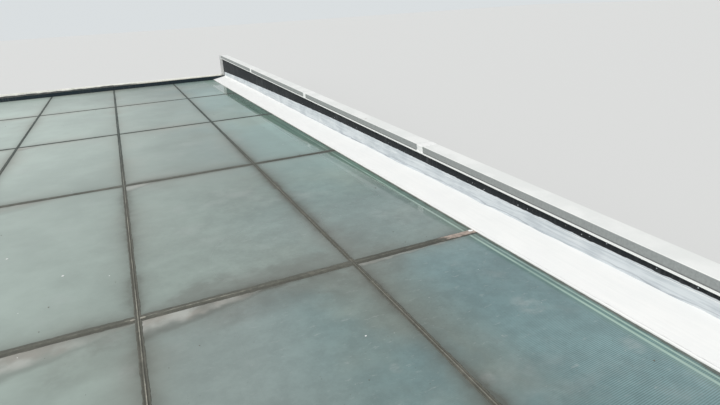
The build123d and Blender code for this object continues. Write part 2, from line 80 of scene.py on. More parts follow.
class NodeSheet:
    """Adds nodes to one tree and wires each of them as it is added."""

    def __init__(self, tree: bpy.types.NodeTree) -> None:
        """Takes the tree that the nodes go into."""
        self.tree = tree

    def add(self, kind: str, feeds: dict[str | int, Feed], **settings: Any) -> bpy.types.Node:
        """Adds a node.

        Args:
            kind: Blender's name for the type of node.
            feeds: The socket or the plain value that goes into each input.
            settings: Properties of the node itself.

        Returns:
            The new node.
        """
        node = self.tree.nodes.new(kind)
        for name, setting in settings.items():
            setattr(node, name, setting)
        self.wire_up(node, feeds)
        return node

    def wire_up(self, node: bpy.types.Node, feeds: dict[str | int, Feed]) -> None:
        """Feeds a node.

        Args:
            node: The node.
            feeds: The socket or the plain value that goes into each input.
        """
        for key, feed in feeds.items():
            if isinstance(feed, bpy.types.NodeSocket):
                self.tree.links.new(feed, node.inputs[key])
            else:
                node.inputs[key].default_value = feed

    def math(self, operation: str, first: Feed, second: Feed = 0.0) -> Socket:
        """Returns the result of one sum on two numbers."""
        return self.add("ShaderNodeMath", {0: first, 1: second}, operation=operation).outputs[0]

    def plus(self, first: Feed, second: Feed) -> Socket:
        """Returns the sum of two numbers."""
        return self.math("ADD", first, second)

    def less(self, first: Feed, second: Feed) -> Socket:
        """Returns the first number less the second."""
        return self.math("SUBTRACT", first, second)

    def apart(self, first: Feed, second: Feed) -> Socket:
        """Returns how far apart two numbers are."""
        return self.math("ABSOLUTE", self.less(first, second))

    def product(self, *factors: Feed) -> Socket:
        """Returns the product of one or more numbers."""
        return reduce(lambda result, factor: self.math("MULTIPLY", result, factor), factors)

    def most(self, *values: Feed) -> Socket:
        """Returns the largest of one or more numbers."""
        return reduce(lambda result, value: self.math("MAXIMUM", result, value), values)

    def ease(
        self, value: Feed, low: Feed, high: Feed, start: float = 0.0, end: float = 1.0
    ) -> Socket:
        """Returns a smooth step: start up to low, end from high on. High may be under low."""
        feeds = {0: value, 1: low, 2: high, 3: start, 4: end}
        return self.add("ShaderNodeMapRange", feeds, interpolation_type="SMOOTHSTEP").outputs[0]

    def swing(self, mask: Feed, start: float, end: float) -> Socket:
        """Goes smoothly from start to end as a mask goes from 0 to 1."""
        return self.ease(mask, 0.0, 1.0, start, end)

    def spread(self, height: Feed, start: float, end: float) -> Socket:
        """Spreads noise, most of which lies between 0.3 and 0.7, from start to end."""
        return self.ease(height, 0.3, 0.7, start, end)

    def scaled(self, vector: Feed, factors: Feed) -> Socket:
        """Returns a vector with each of its axes multiplied by a factor."""
        feeds = {0: vector, 1: factors}
        return self.add("ShaderNodeVectorMath", feeds, operation="MULTIPLY").outputs[0]

    def noise(self, vector: Feed, scale: Feed, detail: float = 2.0, rough: float = 0.5) -> Socket:
        """Returns smooth noise about one half."""
        feeds = {"Vector": vector, "Scale": scale, "Detail": detail, "Roughness": rough}
        return self.add("ShaderNodeTexNoise", feeds).outputs[0]

    def mix(self, factor: Feed, under: Feed, over: Feed) -> Socket:
        """Returns a colour between two others."""
        feeds = {0: factor, 6: opaque(under), 7: opaque(over)}
        return self.add("ShaderNodeMix", feeds, data_type="RGBA").outputs[2]

    def laid(self, colour: Feed, over: Feed, *masks: Feed) -> Socket:
        """Lays a second colour over a colour, as thick as the product of its masks."""
        return self.mix(self.product(*masks), colour, over)

    def blend(self, factor: Feed, under: Feed, over: Feed) -> Socket:
        """Goes from one number to another as the factor goes from 0 to 1."""
        node = self.add("ShaderNodeMix", {0: factor, 2: under, 3: over}, data_type="FLOAT")
        return node.outputs[0]

    def tone(self, colour: Feed, value: Feed) -> Socket:
        """Returns a colour with its brightness multiplied by a number."""
        feeds = {"Color": opaque(colour), "Value": value}
        return self.add("ShaderNodeHueSaturation", feeds).outputs[0]

    def bump(self, height: Feed, distance: float, strength: float = 1.0) -> Socket:
        """Returns a normal that follows a height, whose full range is a distance in metres."""
        feeds = {"Strength": strength, "Distance": distance, "Height": height}
        return self.add("ShaderNodeBump", feeds).outputs[0]

    def axes(self, vector: Feed) -> tuple[Socket, Socket, Socket]:
        """Returns the three axes of a vector as numbers."""
        node = self.add("ShaderNodeSeparateXYZ", {0: vector})
        return node.outputs[0], node.outputs[1], node.outputs[2]


def opaque(colour: Feed) -> Feed:
    """Returns a colour of three numbers with a full fourth one, and a socket as it is."""
    if isinstance(colour, bpy.types.NodeSocket) or len(colour) == 4:
        return colour
    return (*colour, 1.0)


# Shader effects that several finishes share


class SharedEffect:
    """A shader effect in a node group, built once and placed in each finish with its own values."""

    name = ""
    inputs: dict[str, float | Point] = {}
    output = "Mask"

    def wire(self, sheet: NodeSheet, ends: bpy.types.NodeOutputs) -> Socket:
        """Builds the effect between the group's inputs and its one output."""
        raise NotImplementedError

    def tree(self) -> bpy.types.NodeTree:
        """Builds the node group the first time that it is asked for.

        Returns:
            The group.
        """
        found = bpy.data.node_groups.get(self.name)
        if found:
            return found
        tree = bpy.data.node_groups.new(self.name, "ShaderNodeTree")
        for name, value in self.inputs.items():
            kind = "NodeSocketVector" if isinstance(value, tuple) else "NodeSocketFloat"
            socket = tree.interface.new_socket(name=name, in_out="INPUT", socket_type=kind)
            socket.default_value = value
        tree.interface.new_socket(name=self.output, in_out="OUTPUT", socket_type="NodeSocketFloat")
        sheet = NodeSheet(tree)
        start = sheet.add("NodeGroupInput", {})
        sheet.add("NodeGroupOutput", {self.output: self.wire(sheet, start.outputs)})
        return tree

    def place(self, sheet: NodeSheet, feeds: dict[str | int, Feed]) -> Socket:
        """Places the effect in a material.

        Args:
            sheet: The material's nodes.
            feeds: Values for the group's inputs, by name.

        Returns:
            The group's output.
        """
        node = sheet.add("ShaderNodeGroup", feeds, node_tree=self.tree())
        return node.outputs[self.output]


class GrimePatches(SharedEffect):
    """Soft uneven patches that cover a share of the surface."""

    name = "grime_patches"
    inputs = {"Vector": (0.0, 0.0, 0.0), "Scale": 3.0, "Share": 0.5}

    def wire(self, sheet: NodeSheet, ends: bpy.types.NodeOutputs) -> Socket:
        """Cuts a rough noise at the height that leaves the wanted share.

        Args:
            sheet: The group's nodes.
            ends: The group's inputs.

        Returns:
            What the group puts out.
        """
        height = sheet.noise(ends["Vector"], ends["Scale"], detail=6.0, rough=0.62)
        middle = sheet.swing(ends["Share"], 0.72, 0.28)
        return sheet.ease(height, sheet.less(middle, 0.12), sheet.plus(middle, 0.12))


class FineSpecks(SharedEffect):
    """Small sharp specks, scattered one to a cell in a share of the cells."""

    name = "fine_specks"
    inputs = {"Vector": (0.0, 0.0, 0.0), "Scale": 20.0, "Share": 0.2, "Size": 0.1}

    def wire(self, sheet: NodeSheet, ends: bpy.types.NodeOutputs) -> Socket:
        """Draws a dot at the middle of each chosen cell, with its outline bent by noise.

        Args:
            sheet: The group's nodes.
            ends: The group's inputs.

        Returns:
            What the group puts out.
        """
        bend = sheet.noise(ends["Vector"], sheet.product(ends["Scale"], 5.0), detail=2.0)
        feeds = {name: ends[name] for name in ("Vector", "Scale")}
        cells = sheet.add("ShaderNodeTexVoronoi", feeds).outputs
        chosen = sheet.math("LESS_THAN", sheet.axes(cells["Color"])[0], ends["Share"])
        bent = sheet.product(cells["Distance"], sheet.spread(bend, 0.6, 1.7))
        dot = sheet.ease(bent, ends["Size"], sheet.product(ends["Size"], 0.6))
        return sheet.product(dot, chosen)


class RunStreaks(SharedEffect):
    """Streaks that water leaves as it runs down an upright face."""

    name = "run_streaks"
    inputs = {"Vector": (0.0, 0.0, 0.0), "Width": 0.02, "Length": 0.3}

    def wire(self, sheet: NodeSheet, ends: bpy.types.NodeOutputs) -> Socket:
        """Stretches a noise down the face and keeps its upper half.

        Args:
            sheet: The group's nodes.
            ends: The group's inputs.

        Returns:
            What the group puts out.
        """
        across = sheet.math("DIVIDE", 1.0, ends["Width"])
        down = sheet.math("DIVIDE", 1.0, ends["Length"])
        factors = sheet.add("ShaderNodeCombineXYZ", {0: across, 1: across, 2: down}).outputs[0]
        height = sheet.noise(sheet.scaled(ends["Vector"], factors), 1.0, detail=3.0)
        return sheet.ease(height, 0.44, 0.72)


class BrushMarks(SharedEffect):
    """Marks of a wide brush or roller, long in one direction, as a height."""

    name = "brush_marks"
    inputs = {"Vector": (0.0, 0.0, 0.0), "Width": 0.01, "Length": 0.2}
    output = "Height"

    def wire(self, sheet: NodeSheet, ends: bpy.types.NodeOutputs) -> Socket:
        """Adds a noise drawn out along Y to the slow rise and fall of the coat.

        Args:
            sheet: The group's nodes.
            ends: The group's inputs.

        Returns:
            What the group puts out.
        """
        narrow = sheet.math("DIVIDE", 1.0, ends["Width"])
        long = sheet.math("DIVIDE", 1.0, ends["Length"])
        factors = sheet.add("ShaderNodeCombineXYZ", {0: narrow, 1: long, 2: narrow}).outputs[0]
        fine = sheet.noise(sheet.scaled(ends["Vector"], factors), 1.0, detail=4.0, rough=0.6)
        slow = sheet.noise(ends["Vector"], sheet.product(long, 1.4), detail=2.0)
        return sheet.plus(sheet.product(fine, 0.6), sheet.product(slow, 0.4))


class SurfaceSheet(NodeSheet):
    """The nodes of a finish, with the place on the piece and the effects that finishes share."""

    def __init__(self, tree: bpy.types.NodeTree) -> None:
        """Adds the piece's own coordinates."""
        super().__init__(tree)
        self.place = self.add("ShaderNodeTexCoord", {}).outputs["Object"]
        self.x, self.y, self.z = self.axes(self.place)

    def grain(self, scale: float, detail: float = 2.0, rough: float = 0.5) -> Socket:
        """Returns smooth noise over the piece, about one half."""
        return self.noise(self.place, scale, detail, rough)

    def drawn_out(self, scales: Point, detail: float = 3.0, rough: float = 0.5) -> Socket:
        """Returns noise over the piece with a scale of its own along each axis."""
        return self.noise(self.scaled(self.place, scales), 1.0, detail, rough)

    def patches(self, scale: float, share: float) -> Socket:
        """Returns the mask of soft patches over a share of the piece."""
        return GrimePatches().place(self, {"Vector": self.place, "Scale": scale, "Share": share})

    def specks(self, scale: float, share: float, size: float) -> Socket:
        """Returns the mask of specks in a share of the cells of a scale."""
        feeds = {"Vector": self.place, "Scale": scale, "Share": share, "Size": size}
        return FineSpecks().place(self, feeds)

    def streaks(self, width: float, length: float) -> Socket:
        """Returns the mask of streaks down the piece's upright faces."""
        return RunStreaks().place(self, {"Vector": self.place, "Width": width, "Length": length})

    def strokes(self, width: float, length: float) -> Socket:
        """Returns the height of brush marks along Y."""
        return BrushMarks().place(self, {"Vector": self.place, "Width": width, "Length": length})

    def upward(self, low: float, high: float) -> Socket:
        """Returns the mask of the faces that look up, by how upright their normal is."""
        normal = self.add("ShaderNodeNewGeometry", {}).outputs["Normal"]
        return self.ease(self.axes(normal)[2], low, high)


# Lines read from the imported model


@dataclass(frozen=True)
class GlassGrid:
    """Lines of the glass field, in metres."""

    left: float
    right: float
    near: float
    far: float
    top: float
    long_joints: tuple[float, ...]
    cross_joints: tuple[float, ...]
    joint_half: float

    @classmethod
    def read(cls) -> "GlassGrid":
        """Reads the lines from the boxes of the panes.

        Returns:
            The grid.
        """
        boxes = [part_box(name) for name in frame["nodes"] if name.startswith("glass_row_")]
        starts_x = merged(sorted(low.x for low, _ in boxes))
        ends_x = merged(sorted(high.x for _, high in boxes))
        starts_y = merged(sorted(low.y for low, _ in boxes))
        ends_y = merged(sorted(high.y for _, high in boxes))
        return cls(
            left=starts_x[0],
            right=ends_x[-1],
            near=starts_y[0],
            far=ends_y[-1],
            top=boxes[0][1].z,
            long_joints=middles(ends_x[:-1], starts_x[1:]),
            cross_joints=middles(ends_y[:-1], starts_y[1:]),
            joint_half=(starts_x[1] - ends_x[0]) / 2,
        )

    @property
    def row_pitch(self) -> float:
        """Distance between two joints across."""
        return self.cross_joints[1] - self.cross_joints[0]

    @property
    def pane_spans(self) -> list[tuple[float, float]]:
        """Left and right edge of each bay's panes."""
        starts = [self.left] + [x + self.joint_half for x in self.long_joints]
        ends = [x - self.joint_half for x in self.long_joints] + [self.right]
        return list(zip(starts, ends))


def merged(values: Sequence[float], apart: float = 0.001) -> list[float]:
    """Counts values that lie nearer than a distance once.

    Args:
        values: The values, sorted.
        apart: The distance.

    Returns:
        The values that are kept.
    """
    kept: list[float] = []
    for value in values:
        if not kept or value - kept[-1] > apart:
            kept.append(value)
    return kept


def middles(lows: Sequence[float], highs: Sequence[float]) -> tuple[float, ...]:
    """Returns the middle of each pair of values."""
    return tuple((low + high) / 2 for low, high in zip(lows, highs))


@dataclass(frozen=True)
class KerbLines:
    """Lines of the side kerb and of the flashing in front of it, in metres."""

    face: float
    near: float
    far: float
    cap_front: float
    cap_back: float
    cap_top_near: float
    cap_top_far: float
    drip_near: float
    flashing_edge: float
    upturn_top: float
    far_kerb_front: float

    @classmethod
    def read(cls) -> "KerbLines":
        """Reads the lines from the boxes of the kerb's pieces.

        Returns:
            The lines.
        """
        cap_low, cap_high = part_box("kerb_cap")
        flashing_low, flashing_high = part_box("side_flashing")
        return cls(
            face=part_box("kerb_face")[0].x,
            near=cap_low.y,
            far=cap_high.y,
            cap_front=cap_low.x,
            cap_back=cap_high.x,
            cap_top_near=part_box("kerb_end_near")[1].z,
            cap_top_far=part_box("kerb_end_far")[1].z,
            drip_near=cap_low.z,
            flashing_edge=flashing_low.x,
            upturn_top=flashing_high.z,
            far_kerb_front=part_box("far_kerb")[0].y,
        )

    @property
    def slope(self) -> float:
        """Rise of the cap for each metre along it."""
        return (self.cap_top_far - self.cap_top_near) / (self.far - self.near)

    @property
    def fascia_height(self) -> float:
        """Height of the cap's upright faces."""
        return self.cap_top_near - self.drip_near

    def cap_top(self, y: float) -> float:
        """Returns the level of the cap's top at y."""
        return self.cap_top_near + self.slope * (y - self.near)


GRID = GlassGrid.read()
KERB = KerbLines.read()
LIP_HEIGHT = 0.0125


# Finishes, each named after its slot in the record


@dataclass(frozen=True)
class Finish:
    """A finish of the skylight."""

    slot: str

    def material(self, name: str = "") -> Material:
        """Builds the material.

        Args:
            name: The material's name, or nothing to name it after its slot.

        Returns:
            A new material with its nodes wired.
        """
        material = bpy.data.materials.new(name or self.slot)
        material.use_nodes = True
        sheet = SurfaceSheet(material.node_tree)
        sheet.wire_up(material.node_tree.nodes["Principled BSDF"], self.feeds(sheet))
        return material

    def feeds(self, sheet: SurfaceSheet) -> dict[str | int, Feed]:
        """Returns what goes into each socket of the surface's shader."""
        raise NotImplementedError


@dataclass(frozen=True)
class DirtDeposit:
    """Dry dirt left along the near side of a joint across, widest at its start."""

    joint: int
    start: float
    end: float
    width: float
    strength: float = 1.0


@dataclass(frozen=True)
class EdgeReflection:
    """Painted reflection of the flashing's edge: a pale line along the flashing, which fades away
    from fades_at on.
    """

    distance: float
    half: float
    fades_at: float


@dataclass(frozen=True)
class GrimeStain:
    """Patch of thin dirt on the glass, with soft edges."""

    left: float
    right: float
    near: float
    far: float
    strength: float
    soft: float = 0.07


@dataclass(frozen=True)
class WipedSmudge:
    """Round pale smudge on the glass, about its middle."""

    x: float
    y: float
    reach: float
    strength: float


@dataclass(frozen=True)
class FrostedGlass(Finish):
    """Frosted and printed glass, dustier towards the left, with dirt along its joints.

    dusty_side and clear_side are the places along X between which the dust thins. Each halo
    falls off with distance as its reach says, beyond a core that is dark all over.
    """

    slot: str = "frosted_glass"
    dusty: Colour = (0.345, 0.415, 0.378)
    clear: Colour = (0.190, 0.238, 0.216)
    cool: Colour = (0.134, 0.238, 0.256)
    green: Colour = (0.128, 0.222, 0.172)
    # dirt also colours the painted shadow line along the flashing's edge.
    dirt: Colour = (0.078, 0.077, 0.062)
    film: Colour = (0.225, 0.240, 0.212)
    far_film: Colour = (0.310, 0.315, 0.275)
    dry_dirt: Colour = (0.325, 0.312, 0.280)
    dry_white: Colour = (0.430, 0.440, 0.410)
    chalk: Colour = (0.420, 0.450, 0.440)
    # line: colour of the painted reflections of the flashing's edge.
    line: Colour = (0.420, 0.570, 0.500)
    cooler: Colour = (1.00, 1.00, 1.05)
    greener: Colour = (0.96, 1.03, 1.03)
    dusty_side: float = -1.30
    clear_side: float = 1.25
    dot_pitch: float = 0.0090
    dot_turn: float = 5.0
    long_reach: float = 0.042
    far_core: float = 0.024
    far_reach: float = 0.062
    near_core: float = 0.016
    near_reach: float = 0.026
    middle_strength: float = 0.70
    film_core: float = 0.02
    film_reach: tuple[float, float] = (0.110, 0.170)
    # Painted reflections of the flashing's edge, as pale lines.
    edge_reflections: tuple[EdgeReflection, ...] = (
        EdgeReflection(0.037, 0.0060, -2.9),
        EdgeReflection(0.068, 0.0085, 0.9),
    )
    deposits: tuple[DirtDeposit, ...] = (
        DirtDeposit(0, -0.045, 0.66, 0.165),
        DirtDeposit(0, -1.215, 0.0, 0.300, 1.0),
        DirtDeposit(0, 1.180, 2.00, 0.050, 0.50),
        DirtDeposit(1, -0.045, 0.22, 0.190, 0.80),
        DirtDeposit(1, -1.215, -0.50, 0.240, 0.45),
        DirtDeposit(2, -1.215, -0.95, 0.170),
    )
    stains: tuple[GrimeStain, ...] = (
        GrimeStain(-0.30, 1.45, -3.99, -3.76, 0.36),
        GrimeStain(0.10, 1.48, -3.70, -3.50, 0.34),
        GrimeStain(0.62, 1.46, -3.86, -3.74, 0.42, 0.05),
        GrimeStain(1.14, 1.50, -3.70, -3.16, 0.30, 0.14),
        GrimeStain(-0.48, -0.04, -4.12, -3.84, 0.22, 0.08),
        GrimeStain(1.14, 1.42, -6.20, -4.15, 0.10, 0.12),
        GrimeStain(0.10, 0.40, -1.60, -1.36, 0.16, 0.10),
    )
    smudges: tuple[WipedSmudge, ...] = (
        WipedSmudge(1.735, -4.575, 0.090, 0.30),
        WipedSmudge(1.905, -5.045, 0.060, 0.28),
        WipedSmudge(1.225, -4.920, 0.045, 0.40),
        WipedSmudge(-0.183, -3.860, 0.070, 0.35),
        WipedSmudge(-0.121, -4.155, 0.060, 0.45),
        WipedSmudge(0.925, -4.690, 0.035, 0.30),
        WipedSmudge(1.640, -3.100, 0.090, 0.16),
    )

    def feeds(self, sheet: SurfaceSheet) -> dict[str | int, Feed]:
        """Lays the dust, the print, the painted reflections and the painted shadow along the
        flashing's edge, the halos and the deposits on the glass.

        Args:
            sheet: The material's nodes.

        Returns:
            What goes into each socket of the surface's shader.
        """
        y = sheet.y
        thin = sheet.ease(sheet.x, self.dusty_side, self.clear_side)
        colour = self.tinted(sheet, thin)
        colour = sheet.tone(colour, self.print_tone(sheet, thin))
        colour = self.weathered(sheet, sheet.product(thin, sheet.ease(y, -0.8, -2.6)), colour)
        colour = self.edge_colour(sheet, colour)
        colour = sheet.laid(colour, self.chalk, self.smudge_mask(sheet))
        colour = sheet.laid(colour, self.chalk, sheet.patches(2.6, 0.28), 0.22)
        colour = sheet.laid(colour, self.chalk, sheet.specks(26.0, 0.035, 0.10), 0.6)

        halo, film = self.halo(sheet)
        colour = sheet.laid(colour, self.dirt, self.stain_mask(sheet))
        dull = sheet.mix(sheet.ease(y, -2.4, 0.6), self.film, self.far_film)
        colour = sheet.laid(colour, dull, film)
        colour = sheet.laid(colour, self.dirt, halo)
        ring, dry = self.deposit_masks(sheet)
        colour = sheet.laid(colour, self.dirt, ring, 0.36)
        limy = sheet.ease(sheet.grain(5.0, 3.0), 0.42, 0.60)
        colour = sheet.laid(colour, sheet.mix(limy, self.dry_dirt, self.dry_white), dry)
        return {
            "Base Color": colour,
            "Roughness": self.roughness(sheet, thin, sheet.most(halo, dry)),
            "IOR": 1.50,
            "Normal": sheet.bump(sheet.grain(2.1, 1.0), 0.0012, 0.6),
        }

    def tinted(self, sheet: SurfaceSheet, thin: Socket) -> Socket:
        """Colours the glass by the dust on it and by the light that falls on each part of it.

        Args:
            sheet: The material's nodes.
            thin: Mask of the glass with little dust.

        Returns:
            The glass without its print and its marks.
        """
        x, y = sheet.x, sheet.y
        near_row = sheet.ease(y, -3.45, -3.95)
        clouds = sheet.ease(sheet.grain(0.9, 4.0), 0.40, 0.60)
        bluish = sheet.product(clouds, sheet.ease(x, 0.2, 1.3), sheet.swing(near_row, 0.25, 1.0))
        corner = sheet.product(sheet.ease(x, 1.15, 1.60), near_row, 0.75)
        colour = sheet.mix(sheet.most(bluish, corner), self.clear, self.cool)
        colour = sheet.mix(thin, self.dusty, colour)
        middle_bay = sheet.product(near_row, sheet.ease(x, 0.9, 0.4), sheet.ease(x, -0.3, 0.2))
        colour = sheet.laid(colour, sheet.scaled(colour, self.cooler), middle_bay)
        # Painted sky sheen: the far rows towards the left are made brighter.
        sky_sheen = sheet.product(sheet.ease(y, -1.6, 0.2), sheet.ease(x, 0.9, -0.2))
        colour = sheet.tone(colour, sheet.swing(sky_sheen, 1.0, 1.18))
        # Painted sky sheen over the last bay and the far rows.
        colour = sheet.tone(colour, self.sky_sheen_tone(sheet))
        last_bay = sheet.product(sheet.ease(x, 0.9, 1.5), sheet.ease(y, -3.4, -2.0))
        colour = sheet.laid(colour, sheet.scaled(colour, self.greener), last_bay)
        colour = sheet.tone(colour, sheet.swing(self.pane_chance(sheet), 0.95, 1.06))
        return sheet.tone(colour, sheet.spread(sheet.grain(1.7, 5.0, 0.62), 0.90, 1.09))

    def sky_sheen_tone(self, sheet: SurfaceSheet) -> Socket:
        """Returns how much painted sky sheen lifts the last bay and the far rows.

        Args:
            sheet: The material's nodes.

        Returns:
            A factor about 1.
        """
        x, y = sheet.x, sheet.y
        last_bay = sheet.product(
            sheet.ease(x, 1.10, 1.60), sheet.ease(y, -2.9, -1.8), sheet.ease(y, 4.6, 3.6, 0.3, 1.0)
        )
        middle_rows = sheet.product(
            sheet.ease(x, 0.1, 1.3, 0.25, 1.0),
            sheet.ease(y, -0.9, 1.2),
            sheet.ease(y, 4.8, 3.4, 0.2, 1.0),
        )
        far_row = sheet.product(sheet.ease(y, 4.0, 5.2), sheet.ease(x, 0.7, 0.1))
        return sheet.product(
            sheet.swing(last_bay, 1.0, 1.16),
            sheet.swing(middle_rows, 1.0, 1.20),
            sheet.swing(far_row, 1.0, 0.88),
        )

    def roughness(self, sheet: SurfaceSheet, thin: Socket, film: Socket) -> Socket:
        """Returns the roughness: dull at the left and the far end, glossy beside the flashing.

        Args:
            sheet: The material's nodes.
            thin: Mask of the glass with little dust.
            film: Mask of the dirt along the joints.

        Returns:
            The roughness.
        """
        x, y = sheet.x, sheet.y
        dull, edge = 0.36, KERB.flashing_edge
        open_glass = sheet.ease(x, 1.72, 1.45)
        far_end = sheet.ease(y, GRID.far - 1.3, GRID.far - 0.8)
        far_dust = sheet.product(
            sheet.ease(y, GRID.far - 3.2, GRID.far - 0.9, 0.0, 0.9), sheet.most(open_glass, far_end)
        )
        dust = sheet.most(sheet.less(1.0, sheet.ease(thin, 0.55, 1.0)), far_dust)
        base = sheet.blend(dust, sheet.swing(open_glass, 0.06, 0.11), dull)
        beyond = sheet.product(sheet.ease(x, edge - 0.18, edge - 0.24), sheet.ease(y, -3.4, -2.4))
        return sheet.plus(sheet.blend(beyond, base, dull), sheet.product(film, 0.25))

    def pane_chance(self, sheet: SurfaceSheet) -> Socket:
        """Returns a number from 0 to 1 that is the same all over one pane.

        Args:
            sheet: The material's nodes.

        Returns:
            The number.
        """
        bay: Feed = 0.0
        for joint in GRID.long_joints:
            bay = sheet.plus(bay, sheet.math("GREATER_THAN", sheet.x, joint))
        run = sheet.math("DIVIDE", sheet.less(sheet.y, GRID.near), GRID.row_pitch)
        cell = sheet.add("ShaderNodeCombineXYZ", {0: bay, 1: sheet.math("FLOOR", run)}).outputs[0]
        return sheet.add("ShaderNodeTexWhiteNoise", {"Vector": cell}).outputs["Value"]

    def print_tone(self, sheet: SurfaceSheet, thin: Socket) -> Socket:
        """Returns the brightness of the fine print, which shows where the dust is thin.

        Args:
            sheet: The material's nodes.
            thin: Mask of the glass with little dust.

        Returns:
            A factor about 1.
        """
        feeds = {"Vector": sheet.place, "Rotation": (0.0, 0.0, radians(-self.dot_turn))}
        along, across, _ = sheet.axes(sheet.add("ShaderNodeMapping", feeds).outputs[0])
        turn = 2 * pi / self.dot_pitch
        rows = sheet.math("SINE", sheet.product(across, turn))
        dots = sheet.math("SINE", sheet.product(along, turn))
        height = sheet.plus(sheet.product(rows, 0.85), sheet.product(rows, dots, 0.15))
        shown = sheet.product(
            sheet.ease(sheet.grain(3.1), 0.36, 0.56, 0.45, 1.0),
            sheet.ease(sheet.x, 1.25, 1.75, 0.08, 1.0),
            sheet.ease(sheet.y, -4.3, -5.1, 0.08, 1.0),
            sheet.ease(thin, 0.55, 1.0, 0.10, 1.0),
        )
        return sheet.blend(shown, 1.0, sheet.ease(height, -0.8, 0.8, 0.84, 1.36))

    def weathered(self, sheet: SurfaceSheet, shown: Socket, colour: Socket) -> Socket:
        """Adds the blotches, dark specks and short pale scratches of the clearer glass.

        Args:
            sheet: The material's nodes.
            shown: Mask of the glass that shows them.
            colour: The glass without them.

        Returns:
            The glass with them.
        """
        blotches = sheet.ease(sheet.grain(9.0, 6.0, 0.72), 0.34, 0.66, 0.90, 1.09)
        colour = sheet.tone(colour, sheet.blend(shown, 1.0, blotches))
        specks = sheet.specks(42.0, 0.10, 0.15)
        colour = sheet.laid(colour, self.dirt, specks, shown, 0.45)
        scratches = sheet.ease(sheet.drawn_out((16.0, 42.0, 1.0), 5.0, 0.7), 0.60, 0.70)
        return sheet.laid(colour, self.chalk, scratches, shown, 0.30)

    def smudge_mask(self, sheet: SurfaceSheet) -> Socket:
        """Returns the mask of the pale wiped smudges.

        Args:
            sheet: The material's nodes.

        Returns:
            The mask, up to the strength of each smudge.
        """
        marks = []
        for smudge in self.smudges:
            side = sheet.product(sheet.less(sheet.x, smudge.x), 1.0 / smudge.reach)
            along = sheet.product(sheet.less(sheet.y, smudge.y), 0.8 / smudge.reach)
            away = sheet.plus(sheet.product(side, side), sheet.product(along, along))
            marks.append(sheet.ease(away, 1.0, 0.0, 0.0, smudge.strength))
        wiped = sheet.drawn_out((9.0, 22.0, 1.0), 5.0, 0.65)
        return sheet.product(sheet.most(*marks), sheet.ease(wiped, 0.38, 0.62, 0.1, 1.0))

    def stain_mask(self, sheet: SurfaceSheet) -> Socket:
        """Returns the mask of the grime stains.

        Args:
            sheet: The material's nodes.

        Returns:
            The mask, up to the strength of each stain.
        """
        wander = sheet.spread(sheet.grain(4.0, 4.0, 0.6), -0.06, 0.06)
        along, away = sheet.plus(sheet.x, wander), sheet.less(sheet.y, wander)
        marks = []
        for stain in self.stains:
            soft = stain.soft
            marks.append(
                sheet.product(
                    sheet.ease(along, stain.left - soft, stain.left + soft),
                    sheet.ease(along, stain.right + soft, stain.right - soft),
                    sheet.ease(away, stain.near - soft, stain.near + soft),
                    sheet.ease(away, stain.far + soft, stain.far - soft),
                    stain.strength,
                )
            )
        patchy = sheet.ease(sheet.grain(8.0, 4.0, 0.6), 0.32, 0.62, 0.6, 1.15)
        return sheet.product(sheet.most(*marks), patchy)

    def edge_colour(self, sheet: SurfaceSheet, colour: Socket) -> Socket:
        """Adds the green border beside the flashing, with a painted glare, pale lines that are
        painted reflections of the flashing's edge, and a dark painted shadow line at its root.

        Args:
            sheet: The material's nodes.
            colour: The glass without its border.

        Returns:
            The glass with its border.
        """
        y = sheet.y
        away = sheet.less(KERB.flashing_edge, sheet.x)
        width = sheet.plus(
            sheet.ease(y, -2.4, 0.4, 0.104, 0.180), sheet.ease(y, 0.8, 3.2, 0.0, 0.055)
        )
        past = sheet.less(away, width)
        glare = sheet.product(
            sheet.ease(past, -0.008, 0.018),
            sheet.ease(away, 0.400, 0.290),
            sheet.ease(y, -2.8, -1.8),
            sheet.ease(y, 2.2, 1.4),
        )
        colour = sheet.tone(colour, sheet.swing(glare, 1.0, 1.12))
        streaky = sheet.ease(sheet.drawn_out((48.0, 0.9, 1.0)), 0.36, 0.64, 0.70, 1.25)
        border = sheet.product(
            sheet.ease(past, 0.012, -0.016, 0.0, 0.62), sheet.ease(y, -3.0, -1.8, 0.45, 1.0)
        )
        colour = sheet.laid(colour, sheet.tone(self.green, streaky), border)
        worn = sheet.ease(sheet.grain(2.2), 0.35, 0.60, 0.60, 1.0)
        # Painted reflections: pale lines along the flashing's edge.
        for line in self.edge_reflections:
            near = sheet.ease(y, line.fades_at, line.fades_at - 2.2, 0.06, 0.90)
            off = sheet.apart(away, line.distance)
            mark = sheet.ease(off, line.half * 1.30, line.half * 0.45)
            colour = sheet.laid(colour, self.line, mark, worn, near)
        # Painted shadow: a dark line, in the dirt colour, along the foot of the flashing's edge.
        ragged = sheet.spread(sheet.grain(9.0, 3.0), -0.004, 0.004)
        root = sheet.ease(sheet.plus(away, ragged), 0.030, 0.015, 0.0, 0.80)
        return sheet.laid(colour, self.dirt, root)

    def halo(self, sheet: SurfaceSheet) -> tuple[Socket, Socket]:
        """Returns the masks of the dark dirt along the joints and of the grey film round it.

        Args:
            sheet: The material's nodes.

        Returns:
            The mask of the dirt and that of the film: 0 on clean glass, up to 1 at a joint.
        """
        x, y = sheet.x, sheet.y
        fine = sheet.spread(sheet.grain(14.0, 4.0, 0.6), -0.006, 0.010)
        slow = sheet.spread(sheet.grain(2.0), -0.014, 0.018)
        waver = sheet.product(sheet.plus(fine, slow), sheet.ease(y, -2.6, 0.6, 1.0, 0.2))

        nearest: Feed = 10.0
        for joint in (GRID.left, *GRID.long_joints):
            nearest = sheet.math("MINIMUM", nearest, sheet.apart(x, joint))
        from_middle = sheet.apart(x, GRID.long_joints[1])
        beside = sheet.product(
            self.falloff(sheet, sheet.less(nearest, waver), GRID.joint_half, self.long_reach),
            sheet.ease(from_middle, 0.2, 0.6, self.middle_strength, 1.0),
            sheet.ease(y, -2.4, 1.6, 1.0, 0.40),
        )

